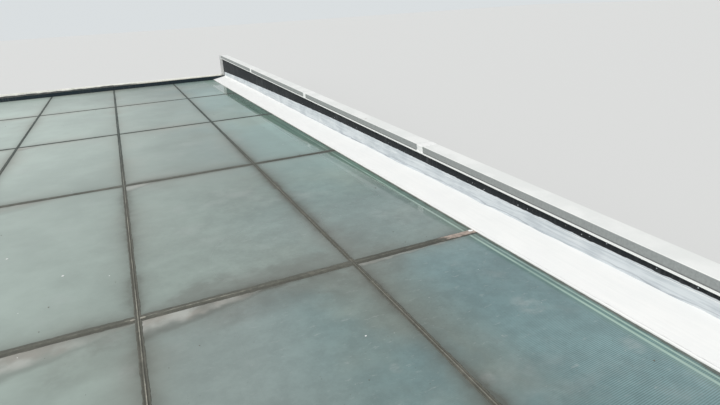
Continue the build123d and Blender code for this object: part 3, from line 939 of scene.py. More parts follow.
        run = sheet.math("DIVIDE", sheet.less(y, GRID.near), GRID.row_pitch)
        part = sheet.math("FRACT", sheet.plus(run, 0.5))
        signed = sheet.product(sheet.less(part, 0.5), GRID.row_pitch)
        off = sheet.math("ABSOLUTE", signed)
        wavering = sheet.less(off, waver)
        before = self.falloff(sheet, wavering, self.near_core, self.near_reach)
        beyond = self.falloff(sheet, wavering, self.far_core, self.far_reach)
        across = sheet.blend(sheet.math("GREATER_THAN", signed, 0.0), before, beyond)
        across = sheet.product(across, sheet.ease(y, -2.5, 0.5, 1.0, 0.45))
        strength = sheet.spread(sheet.grain(1.3, 3.0), 0.66, 0.98)

        billow = sheet.spread(sheet.grain(1.6, 4.0, 0.6), -0.05, 0.05)
        masks = [
            self.falloff(sheet, sheet.less(place, billow), self.film_core, reach)
            for place, reach in zip((nearest, off), self.film_reach)
        ]
        film = sheet.product(
            sheet.most(sheet.product(masks[0], 0.75), masks[1]),
            sheet.ease(sheet.grain(0.8, 3.0), 0.35, 0.65, 0.15, 0.75),
            sheet.ease(x, 0.9, 1.6, 1.0, 0.25),
        )
        return sheet.product(sheet.most(beside, across), strength), film

    def falloff(self, sheet: SurfaceSheet, away: Socket, core: float, reach: float) -> Socket:
        """Returns a mask of 1 up to a core, which falls off exponentially beyond it.

        Args:
            sheet: The material's nodes.
            away: Distance from the middle of a joint.
            core: Distance up to which the mask is 1.
            reach: Distance over which it falls to about a third.

        Returns:
            The mask.
        """
        beyond = sheet.math("MAXIMUM", sheet.less(away, core), 0.0)
        return sheet.math("EXPONENT", sheet.product(beyond, -1.0 / reach))

    def deposit_masks(self, sheet: SurfaceSheet) -> tuple[Socket, Socket]:
        """Returns the masks of the deposits' dark rims and of the dry deposits themselves.

        Args:
            sheet: The material's nodes.

        Returns:
            The mask of the rims and that of the deposits.
        """
        x = sheet.x
        ragged = sheet.spread(sheet.grain(11.0, 4.0), -0.014, 0.014)
        dry, rims = [], []
        for deposit in self.deposits:
            line = GRID.cross_joints[deposit.joint] - GRID.joint_half
            away = sheet.plus(sheet.less(line, sheet.y), ragged)
            feeds = {0: x, 1: deposit.start, 2: deposit.end, 3: 1.0, 4: 0.0}
            run = sheet.add("ShaderNodeMapRange", feeds).outputs[0]
            taper = sheet.product(sheet.math("POWER", run, 0.75), deposit.width)
            low, high = sorted((deposit.start, deposit.end))
            inside = sheet.product(
                sheet.math("GREATER_THAN", x, low),
                sheet.math("LESS_THAN", x, high),
                sheet.ease(away, -0.020, -0.004),
            )
            strength = sheet.ease(run, 0.0, 0.55, 0.20 * deposit.strength, deposit.strength)
            body = sheet.ease(away, taper, sheet.product(taper, 0.5))
            rim = sheet.ease(away, sheet.product(taper, 1.35), taper)
            dry.append(sheet.product(inside, strength, body))
            rims.append(sheet.product(inside, strength, rim))
        patchy = sheet.ease(sheet.grain(7.0, 4.0, 0.6), 0.30, 0.62, 0.42, 0.92)
        return sheet.most(*rims), sheet.product(sheet.most(*dry), patchy)


@dataclass(frozen=True)
class WeatheredSealant(Finish):
    """Old silicone: darker in its hollows with dirt and painted shade, paler along its ridges with
    wear and a painted highlight, dusty all over.
    """

    slot: str = "weathered_sealant"
    hollow_dirt_and_shade: Colour = (0.066, 0.064, 0.052)
    body: Colour = (0.098, 0.100, 0.082)
    ridge_wear_and_highlight: Colour = (0.340, 0.330, 0.280)
    dust: Colour = (0.170, 0.164, 0.138)
    dried: Colour = (0.430, 0.352, 0.305)
    far_tint: Colour = (0.52, 0.64, 0.68)
    dried_joint: int = 0
    dried_start: float = 1.810
    level: float = 0.0

    def feeds(self, sheet: SurfaceSheet) -> dict[str | int, Feed]:
        """Colours the bead by how high its surface stands over the glass.

        Args:
            sheet: The material's nodes.

        Returns:
            What goes into each socket of the surface's shader.
        """
        over = sheet.less(sheet.z, self.level)
        grain = sheet.grain(60.0, 4.0, 0.65)
        # Painted shade with dirt: the bead's hollows, below its level, take the darker colour.
        colour = sheet.mix(sheet.ease(over, -0.0022, 0.0004), self.hollow_dirt_and_shade, self.body)
        wear = sheet.ease(sheet.grain(3.0, 3.0), 0.36, 0.58, 0.20, 1.0)
        last_bay = sheet.ease(sheet.x, 0.5, 0.9, 1.0, 0.45)
        # Painted highlight with wear: the ridges that stand over the level take the pale colour.
        colour = sheet.laid(colour, self.ridge_wear_and_highlight, sheet.ease(over, 0.0010, 0.0020), wear, last_bay)
        colour = sheet.laid(colour, self.dust, sheet.patches(7.0, 0.35), 0.40)
        colour = sheet.tone(colour, sheet.spread(grain, 0.78, 1.22))
        far = sheet.ease(sheet.y, -2.6, 1.4)
        colour = sheet.laid(colour, sheet.scaled(colour, self.far_tint), far)
        colour = sheet.tone(colour, sheet.ease(sheet.x, 1.15, 1.35, 1.0, 0.74))
        return {
            "Base Color": sheet.laid(colour, self.dried, self.dried_mask(sheet)),
            "Roughness": sheet.spread(grain, 0.62, 0.9),
            "Normal": sheet.bump(grain, 0.0006, 0.7),
        }

    def dried_mask(self, sheet: SurfaceSheet) -> Socket:
        """Returns the mask of the pale dirt dried on one joint's end beside the flashing.

        Args:
            sheet: The material's nodes.

        Returns:
            The mask, 1 where the dirt covers the sealant.
        """
        ragged = sheet.spread(sheet.grain(15.0, 3.0), -0.5, 0.5)
        reach = sheet.plus(sheet.x, sheet.product(ragged, 0.05))
        away = sheet.less(sheet.y, GRID.cross_joints[self.dried_joint])
        over = sheet.plus(away, sheet.product(ragged, 0.010))
        return sheet.product(
            sheet.ease(reach, self.dried_start - 0.02, self.dried_start + 0.03),
            sheet.ease(over, -0.004, 0.004),
            sheet.math("LESS_THAN", away, 0.100),
            sheet.ease(sheet.grain(30.0, 3.0), 0.25, 0.60, 0.45, 1.0),
        )


@dataclass(frozen=True)
class FramePaint(Finish):
    """Grey paint on the steel, with dust on top and dirt that has run down its sides."""

    slot: str = "frame_paint"
    paint: Colour = (0.285, 0.305, 0.315)
    grime: Colour = (0.090, 0.082, 0.070)
    rust: Colour = (0.200, 0.085, 0.035)

    def feeds(self, sheet: SurfaceSheet) -> dict[str | int, Feed]:
        """Lays runs of dirt and a few specks of rust over the paint.

        Args:
            sheet: The material's nodes.

        Returns:
            What goes into each socket of the surface's shader.
        """
        patches = sheet.patches(2.5, 0.4)
        colour = sheet.laid(self.paint, self.grime, sheet.streaks(0.018, 0.16), 0.28)
        colour = sheet.laid(colour, self.grime, patches, 0.25)
        return {
            "Base Color": sheet.laid(colour, self.rust, sheet.specks(18.0, 0.06, 0.12), 0.6),
            "Roughness": sheet.swing(patches, 0.38, 0.62),
            "Normal": sheet.bump(sheet.grain(240.0), 0.0003, 0.35),
        }


@dataclass(frozen=True)
class BarAluminium(Finish):
    """Extruded aluminium with its drawn grain, gone dull in patches."""

    slot: str = "bar_aluminium"
    metal: Colour = (0.610, 0.620, 0.630)
    dull: Colour = (0.420, 0.425, 0.425)

    def feeds(self, sheet: SurfaceSheet) -> dict[str | int, Feed]:
        """Draws a fine grain along the bar and dulls it in patches.

        Args:
            sheet: The material's nodes.

        Returns:
            What goes into each socket of the surface's shader.
        """
        grain = sheet.strokes(0.0012, 0.30)
        return {
            "Base Color": sheet.laid(self.metal, self.dull, sheet.patches(6.0, 0.45), 0.7),
            "Metallic": 1.0,
            "Roughness": sheet.spread(grain, 0.30, 0.48),
            "Normal": sheet.bump(grain, 0.0002, 0.4),
        }


@dataclass(frozen=True)
class GasketRubber(Finish):
    """Black rubber with a bloom of dust."""

    slot: str = "gasket_rubber"
    rubber: Colour = (0.022, 0.022, 0.024)
    bloom: Colour = (0.110, 0.106, 0.100)

    def feeds(self, sheet: SurfaceSheet) -> dict[str | int, Feed]:
        """Spreads the bloom in soft patches.

        Args:
            sheet: The material's nodes.

        Returns:
            What goes into each socket of the surface's shader.
        """
        dusty = sheet.patches(12.0, 0.4)
        return {
            "Base Color": sheet.laid(self.rubber, self.bloom, dusty, 0.5),
            "Roughness": sheet.swing(dusty, 0.55, 0.85),
            "Normal": sheet.bump(sheet.grain(300.0), 0.0002, 0.4),
        }


@dataclass(frozen=True)
class FoamRod(Finish):
    """Grey closed-cell foam."""

    slot: str = "foam_rod"
    foam: Colour = (0.300, 0.305, 0.315)
    pore: Colour = (0.130, 0.130, 0.135)
    cells: float = 520.0

    def feeds(self, sheet: SurfaceSheet) -> dict[str | int, Feed]:
        """Covers the rod in small cells.

        Args:
            sheet: The material's nodes.

        Returns:
            What goes into each socket of the surface's shader.
        """
        feeds = {"Vector": sheet.place, "Scale": self.cells}
        cells = sheet.add("ShaderNodeTexVoronoi", feeds).outputs["Distance"]
        skin = sheet.ease(cells, 0.15, 0.6)
        return {
            "Base Color": sheet.mix(skin, self.foam, self.pore),
            "Roughness": sheet.swing(skin, 0.75, 0.95),
            "Normal": sheet.bump(skin, 0.0004, 0.5),
        }


@dataclass(frozen=True)
class DarkMetal(Finish):
    """Dark coated sheet with faint runs, dust on its flat tops and spatter of pale paint."""

    slot: str = "dark_metal"
    coat: Colour = (0.0240, 0.0270, 0.0300)
    run: Colour = (0.095, 0.100, 0.105)
    dust: Colour = (0.420, 0.400, 0.340)
    stain: Colour = (0.190, 0.235, 0.190)
    dust_share: float = 0.35
    dust_strength: float = 0.35
    spatter_share: float = 0.10

    def feeds(self, sheet: SurfaceSheet) -> dict[str | int, Feed]:
        """Lays runs on the upright faces, and dust where the face looks up.

        Args:
            sheet: The material's nodes.

        Returns:
            What goes into each socket of the surface's shader.
        """
        runs = sheet.product(sheet.streaks(0.012, 0.22), sheet.patches(1.8, 0.45), 0.75)
        colour = sheet.mix(runs, self.coat, self.run)
        colour = sheet.laid(colour, self.dust, sheet.specks(34.0, self.spatter_share, 0.16), 0.45)
        film = sheet.laid(self.dust, self.stain, sheet.patches(1.1, 0.35), 0.8)
        cover = sheet.swing(sheet.patches(4.0, self.dust_share), self.dust_strength, 0.95)
        dusty = sheet.product(sheet.upward(0.55, 0.9), cover)
        return {
            "Base Color": sheet.mix(dusty, colour, film),
            "Roughness": sheet.swing(dusty, 0.66, 0.85),
            "Specular IOR Level": 0.10,
            "Normal": sheet.bump(sheet.grain(5.0, 3.0), 0.0025, 0.5),
        }


@dataclass(frozen=True)
class WhiteCoating(Finish):
    """Thick white roof coating, brushed on along the flashing, with a little dirt at its foot."""

    slot: str = "white_coating"
    white: Colour = (0.900, 0.905, 0.895)
    shade: Colour = (0.835, 0.848, 0.845)
    dirt: Colour = (0.400, 0.365, 0.310)

    def feeds(self, sheet: SurfaceSheet) -> dict[str | int, Feed]:
        """Brushes the coating and scatters a few specks of dirt on it.

        Args:
            sheet: The material's nodes.

        Returns:
            What goes into each socket of the surface's shader.
        """
        strokes, lumps = sheet.strokes(0.014, 0.35), sheet.grain(38.0, 3.0)
        colour = sheet.laid(self.white, self.shade, sheet.ease(strokes, 0.62, 0.42), 0.5)
        colour = sheet.laid(colour, self.dirt, sheet.specks(7.0, 0.10, 0.045), 0.7)
        height = sheet.plus(sheet.product(strokes, 0.75), sheet.product(lumps, 0.25))
        return {
            "Base Color": sheet.laid(colour, self.dirt, sheet.patches(2.2, 0.16), 0.10),
            "Roughness": sheet.spread(lumps, 0.50, 0.68),
            "Normal": sheet.bump(height, 0.0022, 0.45),
        }


@dataclass(frozen=True)
class MembranePaint(Finish):
    """Membrane paint, bluish grey, worked on in long uneven strokes; the bluish grey is partly
    painted shade of its upright face.
    """

    slot: str = "membrane"
    # high and low: the membrane's colour, darker than its white partly as painted shade.
    high: Colour = (0.668, 0.712, 0.740)
    low: Colour = (0.500, 0.545, 0.580)
    white: Colour = (0.850, 0.870, 0.875)
    crease_shade: Colour = (0.380, 0.415, 0.450)
    crease_level: float = 0.065
    crease_half: float = 0.006

    def feeds(self, sheet: SurfaceSheet) -> dict[str | int, Feed]:
        """Tints the strokes by their height, lets white show through in patches and paints shade
        along the crease.

        Args:
            sheet: The material's nodes.

        Returns:
            What goes into each socket of the surface's shader.
        """
        strokes, lumps = sheet.strokes(0.011, 0.28), sheet.grain(55.0, 4.0, 0.6)
        colour = sheet.mix(sheet.ease(strokes, 0.40, 0.60), self.low, self.high)
        long = sheet.scaled(sheet.place, (1.0, 0.16, 1.0))
        through = GrimePatches().place(sheet, {"Vector": long, "Scale": 9.0, "Share": 0.30})
        colour = sheet.laid(colour, self.white, through, 0.65)
        # Painted shade: a darker line along the crease at the fold.
        level = sheet.less(sheet.z, GRID.top + self.crease_level)
        waver = sheet.spread(sheet.grain(3.0, 3.0), -0.010, 0.010)
        off = sheet.math("ABSOLUTE", sheet.plus(level, waver))
        patchy = sheet.ease(sheet.grain(2.2), 0.36, 0.56, 0.35, 0.9)
        colour = sheet.laid(colour, self.crease_shade, sheet.ease(off, self.crease_half, 0.0), patchy)
        height = sheet.plus(sheet.product(strokes, 0.7), sheet.product(lumps, 0.3))
        return {
            "Base Color": colour,
            "Roughness": sheet.spread(lumps, 0.42, 0.66),
            "Normal": sheet.bump(height, 0.0040, 0.7),
        }


@dataclass(frozen=True)
class CapCoating(Finish):
    """Cap sheet: white on its top and on its drip lips, grey on its upright faces, weathered and
    partly painted shade.
    """

    slot: str = "cap_coating"
    white: Colour = (0.860, 0.870, 0.855)
    shade: Colour = (0.790, 0.805, 0.790)
    lip: Colour = (0.900, 0.905, 0.895)
    # grey and dark: the upright faces' weathered colour, made darker partly as painted shade.
    grey: Colour = (0.318, 0.335, 0.332)
    dark: Colour = (0.225, 0.238, 0.236)
    groove: Colour = (0.110, 0.115, 0.115)
    stain: Colour = (0.430, 0.380, 0.310)
    lip_depth: float = 0.003

    def feeds(self, sheet: SurfaceSheet) -> dict[str | int, Feed]:
        """Parts the white from the grey by the way a face looks and by how far out it stands.

        Args:
            sheet: The material's nodes.

        Returns:
            What goes into each socket of the surface's shader.
        """
        upward = sheet.upward(0.35, 0.75)
        lips = sheet.most(
            sheet.math("LESS_THAN", sheet.x, KERB.cap_front + self.lip_depth),
            sheet.math("GREATER_THAN", sheet.x, KERB.cap_back - self.lip_depth),
        )
        top = sheet.ease(sheet.grain(3.5, 4.0), 0.62, 0.42)
        top = sheet.mix(top, self.white, self.shade)
        top = sheet.laid(top, self.stain, sheet.specks(6.0, 0.16, 0.10), 0.55)
        colour = sheet.mix(upward, self.fascia(sheet), top)
        return {
            "Base Color": sheet.mix(lips, colour, self.lip),
            "Roughness": sheet.swing(sheet.most(upward, lips), 0.62, 0.50),
            "Normal": sheet.bump(sheet.grain(45.0, 3.0), 0.0012, 0.5),
        }

    def fascia(self, sheet: SurfaceSheet) -> Socket:
        """Colours the upright faces, with their runs, their splashes and their shaded foot.

        Args:
            sheet: The material's nodes.

        Returns:
            The colour.
        """
        run = sheet.product(sheet.less(sheet.y, KERB.near), KERB.slope)
        foot = sheet.less(sheet.less(sheet.z, run), KERB.drip_near)
        runs = sheet.streaks(0.006, 0.10)
        colour = sheet.laid(self.grey, self.dark, runs, 0.22)
        colour = sheet.tone(colour, sheet.spread(sheet.grain(70.0, 5.0, 0.7), 0.90, 1.10))
        brushed = sheet.product(sheet.ease(sheet.y, -5.35, -5.75), sheet.ease(foot, 0.052, 0.030))
        colour = sheet.laid(colour, self.white, sheet.ease(runs, 0.25, 0.60), brushed, 0.6)
        colour = sheet.laid(colour, self.white, sheet.specks(45.0, 0.10, 0.16), 0.45)
        shaded = sheet.ease(foot, LIP_HEIGHT + 0.010, LIP_HEIGHT + 0.003)
        return sheet.laid(colour, self.groove, shaded, 0.8)


@dataclass(frozen=True)
class Mortar(Finish):
    """Pale mortar floated by hand, sandy, stained with green, and dark along its foot."""

    slot: str = "mortar"
    pale: Colour = (0.870, 0.870, 0.810)
    sand: Colour = (0.680, 0.650, 0.560)
    moss: Colour = (0.250, 0.270, 0.200)
    foot: Colour = (0.036, 0.048, 0.056)
    foot_height: float = 0.022

    def feeds(self, sheet: SurfaceSheet) -> dict[str | int, Feed]:
        """Mottles the mortar with sand, pits and a few green stains.

        Args:
            sheet: The material's nodes.

        Returns:
            What goes into each socket of the surface's shader.
        """
        grain, slow = sheet.grain(48.0, 6.0, 0.7), sheet.grain(5.0, 4.0)
        colour = sheet.mix(sheet.ease(grain, 0.52, 0.66), self.pale, self.sand)
        colour = sheet.laid(colour, self.moss, sheet.patches(3.0, 0.22), 0.55)
        colour = sheet.tone(colour, sheet.spread(slow, 0.94, 1.08))
        # The foot of the mortar is darkened up to foot_height, towards the left end.
        over = sheet.less(sheet.z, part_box("far_kerb")[1].z)
        ragged = sheet.plus(over, sheet.spread(slow, -0.006, 0.006))
        dark_foot = sheet.product(
            sheet.ease(ragged, self.foot_height + 0.004, self.foot_height - 0.003),
            sheet.ease(sheet.x, 0.60, 0.15),
        )
        return {
            "Base Color": sheet.laid(colour, self.foot, dark_foot, 0.94),
            "Roughness": sheet.spread(grain, 0.80, 0.95),
            "Normal": sheet.bump(grain, 0.0035, 0.9),
        }


# Meshes


def put(name: str, data: bpy.types.ID) -> bpy.types.Object:
    """Places a mesh, a lamp or a camera in the scene as an object of its own."""
    piece = bpy.data.objects.new(name, data)
    bpy.context.scene.collection.objects.link(piece)
    return piece


def plain_mesh(
    name: str,
    points: Sequence[Point],
    edges: Sequence[tuple[int, ...]] = (),
    faces: Sequence[tuple[int, ...]] = (),
) -> bpy.types.Mesh:
    """Makes a mesh of points, edges and faces.

    Args:
        name: The mesh's name.
        points: Place of each point.
        edges: The points of each edge.
        faces: The points of each face.

    Returns:
        The mesh.
    """
    mesh = bpy.data.meshes.new(name)
    mesh.from_pydata(points, edges, faces)
    return mesh


def level_face(name: str, low: Pair, high: Pair, level: float) -> bpy.types.Mesh:
    """Makes one level rectangle.

    Args:
        name: The mesh's name.
        low: Its near left corner.
        high: Its far right corner.
        level: Its level.

    Returns:
        The mesh.
    """
    (left, near), (right, far) = low, high
    corners = [(left, near, level), (right, near, level), (right, far, level), (left, far, level)]
    return plain_mesh(name, corners, faces=[(0, 1, 2, 3)])


def faced_outwards(made: bmesh.types.BMesh, mesh: bpy.types.Mesh) -> None:
    """Merges doubled points, turns the faces outwards and writes the result to a mesh.

    Args:
        made: The points and faces, which are used up.
        mesh: The mesh that they are written to.
    """
    bmesh.ops.remove_doubles(made, verts=made.verts, dist=1e-6)
    bmesh.ops.recalc_face_normals(made, faces=made.faces)
    made.to_mesh(mesh)
    made.free()


def loft(name: str, rings: Sequence[Sequence[Point]], smooth: bool = True) -> bpy.types.Mesh:
    """Skins closed rings of equal count and closes both ends.

    Args:
        name: The mesh's name.
        rings: The rings in order, each a closed outline of points.
        smooth: Whether the skin is shaded smooth.

    Returns:
        The closed mesh.
    """
    made = bmesh.new()
    rows = [[made.verts.new(point) for point in ring] for ring in rings]
    for row, after in zip(rows, rows[1:]):
        for i in range(len(row)):
            j = (i + 1) % len(row)
            made.faces.new((row[i], row[j], after[j], after[i])).smooth = smooth
    made.faces.new(rows[0])
    made.faces.new(rows[-1])
    mesh = bpy.data.meshes.new(name)
    faced_outwards(made, mesh)
    return mesh


def turned(name: str, outline: Sequence[Pair], sides: int) -> bpy.types.Mesh:
    """Turns an outline round the Z axis, with a flat end on each open side.

    Args:
        name: The mesh's name.
        outline: Radius and height of each point, from the foot up.
        sides: Number of sides of the result.

    Returns:
        The closed mesh.
    """
    angles = [2 * pi * side / sides for side in range(sides)]
    rings = [
        [(radius * cos(angle), radius * sin(angle), height) for angle in angles]
        for radius, height in outline
    ]
    return loft(name, rings, smooth=False)


def joined(name: str, parts: Sequence[bpy.types.Mesh]) -> bpy.types.Mesh:
    """Puts several meshes into one, and removes them.

    Args:
        name: The new mesh's name.
        parts: The meshes.

    Returns:
        The one mesh.
    """
    made = bmesh.new()
    mesh = bpy.data.meshes.new(name)
    for part in parts:
        made.from_mesh(part)
        bpy.data.meshes.remove(part)
    made.to_mesh(mesh)
    made.free()
    return mesh


def path_mesh(name: str, paths: Sequence[Sequence[Point]], closed: bool = False) -> bpy.types.Mesh:
    """Draws paths as bare edges.

    Args:
        name: The mesh's name.
        paths: The points of each path.
        closed: Whether each path runs back to its start.

    Returns:
        A mesh of edges alone.
    """
    points: list[Point] = []
    edges: list[tuple[int, int]] = []
    for path in paths:
        first = len(points)
        points.extend(path)
        edges += [(first + i, first + i + 1) for i in range(len(path) - 1)]
        if closed:
            edges.append((len(points) - 1, first))
    return plain_mesh(name, points, edges)


def ripple(x: float, y: float, z: float = 0.0) -> float:
    """Returns smooth noise between -1 and 1, the same on every run."""
    return noise.noise(Vector((x, y, z)))


def even_places(start: float, end: float, pitch: float) -> list[float]:
    """Returns places from start to end, evenly set at about a pitch."""
    count = max(1, round((end - start) / pitch))
    return [start + (end - start) * i / count for i in range(count + 1)]


def table_value(table: Sequence[Pair], place: float) -> float:
    """Returns the value at a place, read between the rows of a table."""
    places, values = zip(*table)
    return float(np.interp(place, places, values))


def finish_piece(piece: bpy.types.Object, slot: str, *nodes: str) -> None:
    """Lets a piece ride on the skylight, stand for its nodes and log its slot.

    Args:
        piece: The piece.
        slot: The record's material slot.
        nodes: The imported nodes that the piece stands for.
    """
    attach(piece, BODY)
    if nodes:
        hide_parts(*nodes)
    faces = len(piece.data.polygons)
    log.info("%s: %d faces, finish %s, stands for %s", piece.name, faces, slot, nodes or "itself")


def dressed_piece(mesh: bpy.types.Mesh, material: Material, slot: str, *nodes: str) -> None:
    """Puts a finished mesh in the scene under its own name.

    Args:
        mesh: The mesh.
        material: Its material.
        slot: The record's material slot.
        nodes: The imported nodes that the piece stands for.
    """
    mesh.materials.append(material)
    finish_piece(put(mesh.name, mesh), slot, *nodes)


class GeometryTree:
    """A Geometry Nodes tree with named inputs, and the way to run it on a mesh."""

    name = ""
    inputs: dict[str, str] = {}

    def __init__(self) -> None:
        """Makes the tree with its sockets and wires it."""
        self.tree = bpy.data.node_groups.new(self.name, "GeometryNodeTree")
        sockets = self.tree.interface
        sockets.new_socket(name="Geometry", in_out="INPUT", socket_type="NodeSocketGeometry")
        self.identifiers = {
            label: sockets.new_socket(name=label, in_out="INPUT", socket_type=kind).identifier
            for label, kind in {**self.inputs, "Material": "NodeSocketMaterial"}.items()
        }
        sockets.new_socket(name="Geometry", in_out="OUTPUT", socket_type="NodeSocketGeometry")
        self.sheet = NodeSheet(self.tree)
        self.start = self.sheet.add("NodeGroupInput", {}).outputs
        real = self.node("GeometryNodeRealizeInstances", {"Geometry": self.wire()})
        feeds = {"Geometry": real, "Material": self.start["Material"]}
        dressed = self.node("GeometryNodeSetMaterial", feeds)
        self.sheet.add("NodeGroupOutput", {"Geometry": dressed})

    def wire(self) -> Socket:
        """Builds the tree from its inputs to its finished geometry."""
        raise NotImplementedError

    def node(self, kind: str, feeds: dict[str | int, Feed], **settings: Any) -> Socket:
        """Adds a node and returns its first output."""
        return self.sheet.add(kind, feeds, **settings).outputs[0]

    def rail(self) -> Socket:
        """Turns the paths into curves with a point at each step."""
        curve = self.node("GeometryNodeMeshToCurve", {"Mesh": self.start["Geometry"]})
        feeds = {"Curve": curve, "Length": self.start["Step"]}
        return self.node("GeometryNodeResampleCurve", feeds, mode="LENGTH")

    def shape(self, label: str) -> Socket:
        """Returns the geometry of the object in a named input."""
        info = self.sheet.add("GeometryNodeObjectInfo", {"Object": self.start[label]})
        return info.outputs["Geometry"]

    def chance(self, low: Feed, high: Feed, seed: Feed = 0) -> Socket:
        """Returns a number between two others for each point."""
        feeds = {2: low, 3: high, "Seed": seed}
        return self.sheet.add("FunctionNodeRandomValue", feeds, data_type="FLOAT").outputs[1]

    def spun(self, rotation: Socket, angle: Socket) -> Socket:
        """Turns a rotation about its own Z axis.

        Args:
            rotation: The rotation.
            angle: How far it turns, in radians.

        Returns:
            The new rotation.
        """
        euler = self.node("ShaderNodeCombineXYZ", {2: angle})
        spin = self.node("FunctionNodeEulerToRotation", {0: euler})
        feeds = {0: rotation, 1: spin}
        return self.node("FunctionNodeRotateRotation", feeds, rotation_space="LOCAL")

    def run(self, base: bpy.types.Mesh, values: dict[str, Any]) -> bpy.types.Object:
        """Runs the tree on a mesh, keeps the result as a plain mesh and clears away the rest.

        Args:
            base: The mesh that the tree starts from, with the new piece's name.
            values: A value for each named input. Its objects are used up.

        Returns:
            The finished piece.
        """
        name = base.name
        carrier = put(f"{name}_base", base)
        modifier = carrier.modifiers.new(self.tree.name, "NODES")
        modifier.node_group = self.tree
        for label, value in values.items():
            modifier[self.identifiers[label]] = value
        depsgraph = bpy.context.evaluated_depsgraph_get()
        mesh = bpy.data.meshes.new_from_object(carrier.evaluated_get(depsgraph))
        carrier.modifiers.clear()
        bpy.data.objects.remove(carrier)
        bpy.data.meshes.remove(base)
        mesh.name = name
        for value in values.values():
            if isinstance(value, bpy.types.Object):
                bpy.data.objects.remove(value)
        return put(name, mesh)


@dataclass(frozen=True)
class BeadHand:
    """How a bead is drawn: its steps, how far it wavers and lifts, and its even core."""

    step: float
    waver: float
    lift: float
    core: float


class BeadTree(GeometryTree):
    """Draws a closed profile along paths, with a wavering edge and an uneven height."""

    name = "bead_along_paths"
    inputs = {
        "Profile": "NodeSocketObject",
        **dict.fromkeys(("Step", "Waver", "Lift", "Core", "Seed"), "NodeSocketFloat"),
    }

    def wire(self) -> Socket:
        """Wires the sweep and the two displacements.

        Returns:
            The finished geometry.
        """
        rail = self.node("GeometryNodeSetCurveNormal", {"Curve": self.rail()}, mode="Z_UP")
        rail, tangent = self.captured(rail, self.node("GeometryNodeInputTangent", {}))
        profile = self.node("GeometryNodeMeshToCurve", {"Mesh": self.shape("Profile")})
        profile, drawn_at = self.captured(profile, self.node("GeometryNodeInputPosition", {}))
        feeds = {"Curve": rail, "Profile Curve": profile, "Fill Caps": True}
        sweep = self.node("GeometryNodeCurveToMesh", feeds)
        feeds = {"Geometry": sweep, "Offset": self.offset(tangent, drawn_at)}
        return self.node("GeometryNodeSetPosition", feeds)

    def captured(self, curve: Socket, value: Socket) -> tuple[Socket, Socket]:
        """Stores a vector on a curve's points, for use after the sweep.

        Args:
            curve: The curve.
            value: The vector.

        Returns:
            The curve and the stored vector.
        """
        node = self.sheet.add("GeometryNodeCaptureAttribute", {})
        node.capture_items.new("VECTOR", "Value")
        self.sheet.wire_up(node, {"Geometry": curve, "Value": value})
        return node.outputs["Geometry"], node.outputs["Value"]

    def offset(self, tangent: Socket, drawn_at: Socket) -> Socket:
        """Returns how far each point moves: outer ones sideways, upper ones up and down.

        Args:
            tangent: The way that the path runs.
            drawn_at: The point's place in the profile.

        Returns:
            The move as a vector.
        """
        sheet, core = self.sheet, self.start["Core"]
        place = self.node("GeometryNodeInputPosition", {})
        shift = self.node("ShaderNodeCombineXYZ", {2: self.start["Seed"]})
        place = self.node("ShaderNodeVectorMath", {0: place, 1: shift}, operation="ADD")
        across, depth, _ = sheet.axes(drawn_at)
        along_x, along_y, _ = sheet.axes(tangent)
        outer = sheet.ease(sheet.math("ABSOLUTE", across), core, sheet.product(core, 1.6))
        upper = sheet.math("LESS_THAN", depth, 0.0024)
        slow, fast, rise = (
            sheet.ease(sheet.noise(place, scale, detail), 0.25, 0.75, -1.0, 1.0)
            for scale, detail in ((5.0, 2.0), (38.0, 3.0), (24.0, 2.0))
        )
        waver = sheet.plus(sheet.product(slow, 0.5), sheet.product(fast, 0.9))
        sideways = sheet.product(waver, self.start["Waver"], sheet.swing(outer, 0.25, 1.0), upper)
        moves = {
            0: sheet.product(along_y, sideways),
            1: sheet.product(along_x, sideways, -1.0),
            2: sheet.product(rise, self.start["Lift"], upper),
        }
        return self.node("ShaderNodeCombineXYZ", moves)

    def draw(
        self,
        paths: bpy.types.Mesh,
        profile: Sequence[Pair],
        hand: BeadHand,
        seed: float,
        material: Material,
    ) -> bpy.types.Object:
        """Draws a bead, with the top of its profile towards -Y as the sweep wants it.

        Args:
            paths: The paths, with the new piece's name.
            profile: Distance and level of each of the closed profile's points.
            hand: How the bead is drawn.
            seed: Number that its noise starts from.
            material: The bead's material.

        Returns:
            The bead, as a closed piece.
        """
        outline = [(x, -z, 0.0) for x, z in profile]
        name = f"{paths.name}_profile"
        values = {
            "Profile": put(name, path_mesh(name, [outline], closed=True)),
            "Step": hand.step,
            "Waver": hand.waver,
            "Lift": hand.lift,
            "Core": hand.core,
            "Seed": seed,
            "Material": material,
        }
        piece = self.run(paths, values)
        made = bmesh.new()
        made.from_mesh(piece.data)
        faced_outwards(made, piece.data)
        return piece


class WeldTree(GeometryTree):
    """Lays a rippled weld along paths."""

    name = "weld_along_paths"
    inputs = {
        **dict.fromkeys(("Radius", "Ripple", "Step"), "NodeSocketFloat"),
        "Sides": "NodeSocketInt",
    }

    def wire(self) -> Socket:
        """Wires a round bead whose radius rises and falls along the path.

        Returns:
            The finished geometry.
        """
        sheet, rail = self.sheet, self.rail()
        run = sheet.add("GeometryNodeSplineParameter", {}).outputs["Length"]
        turns = sheet.product(sheet.math("DIVIDE", run, self.start["Ripple"]), 2 * pi)
        swell = sheet.ease(sheet.math("SINE", turns), -1.0, 1.0, 0.82, 1.12)
        rail = self.node("GeometryNodeSetCurveRadius", {"Curve": rail, "Radius": swell})
        feeds = {"Resolution": self.start["Sides"], "Radius": self.start["Radius"]}
        ring = self.node("GeometryNodeCurvePrimitiveCircle", feeds, mode="RADIUS")
        return self.node("GeometryNodeCurveToMesh", {"Curve": rail, "Profile Curve": ring})


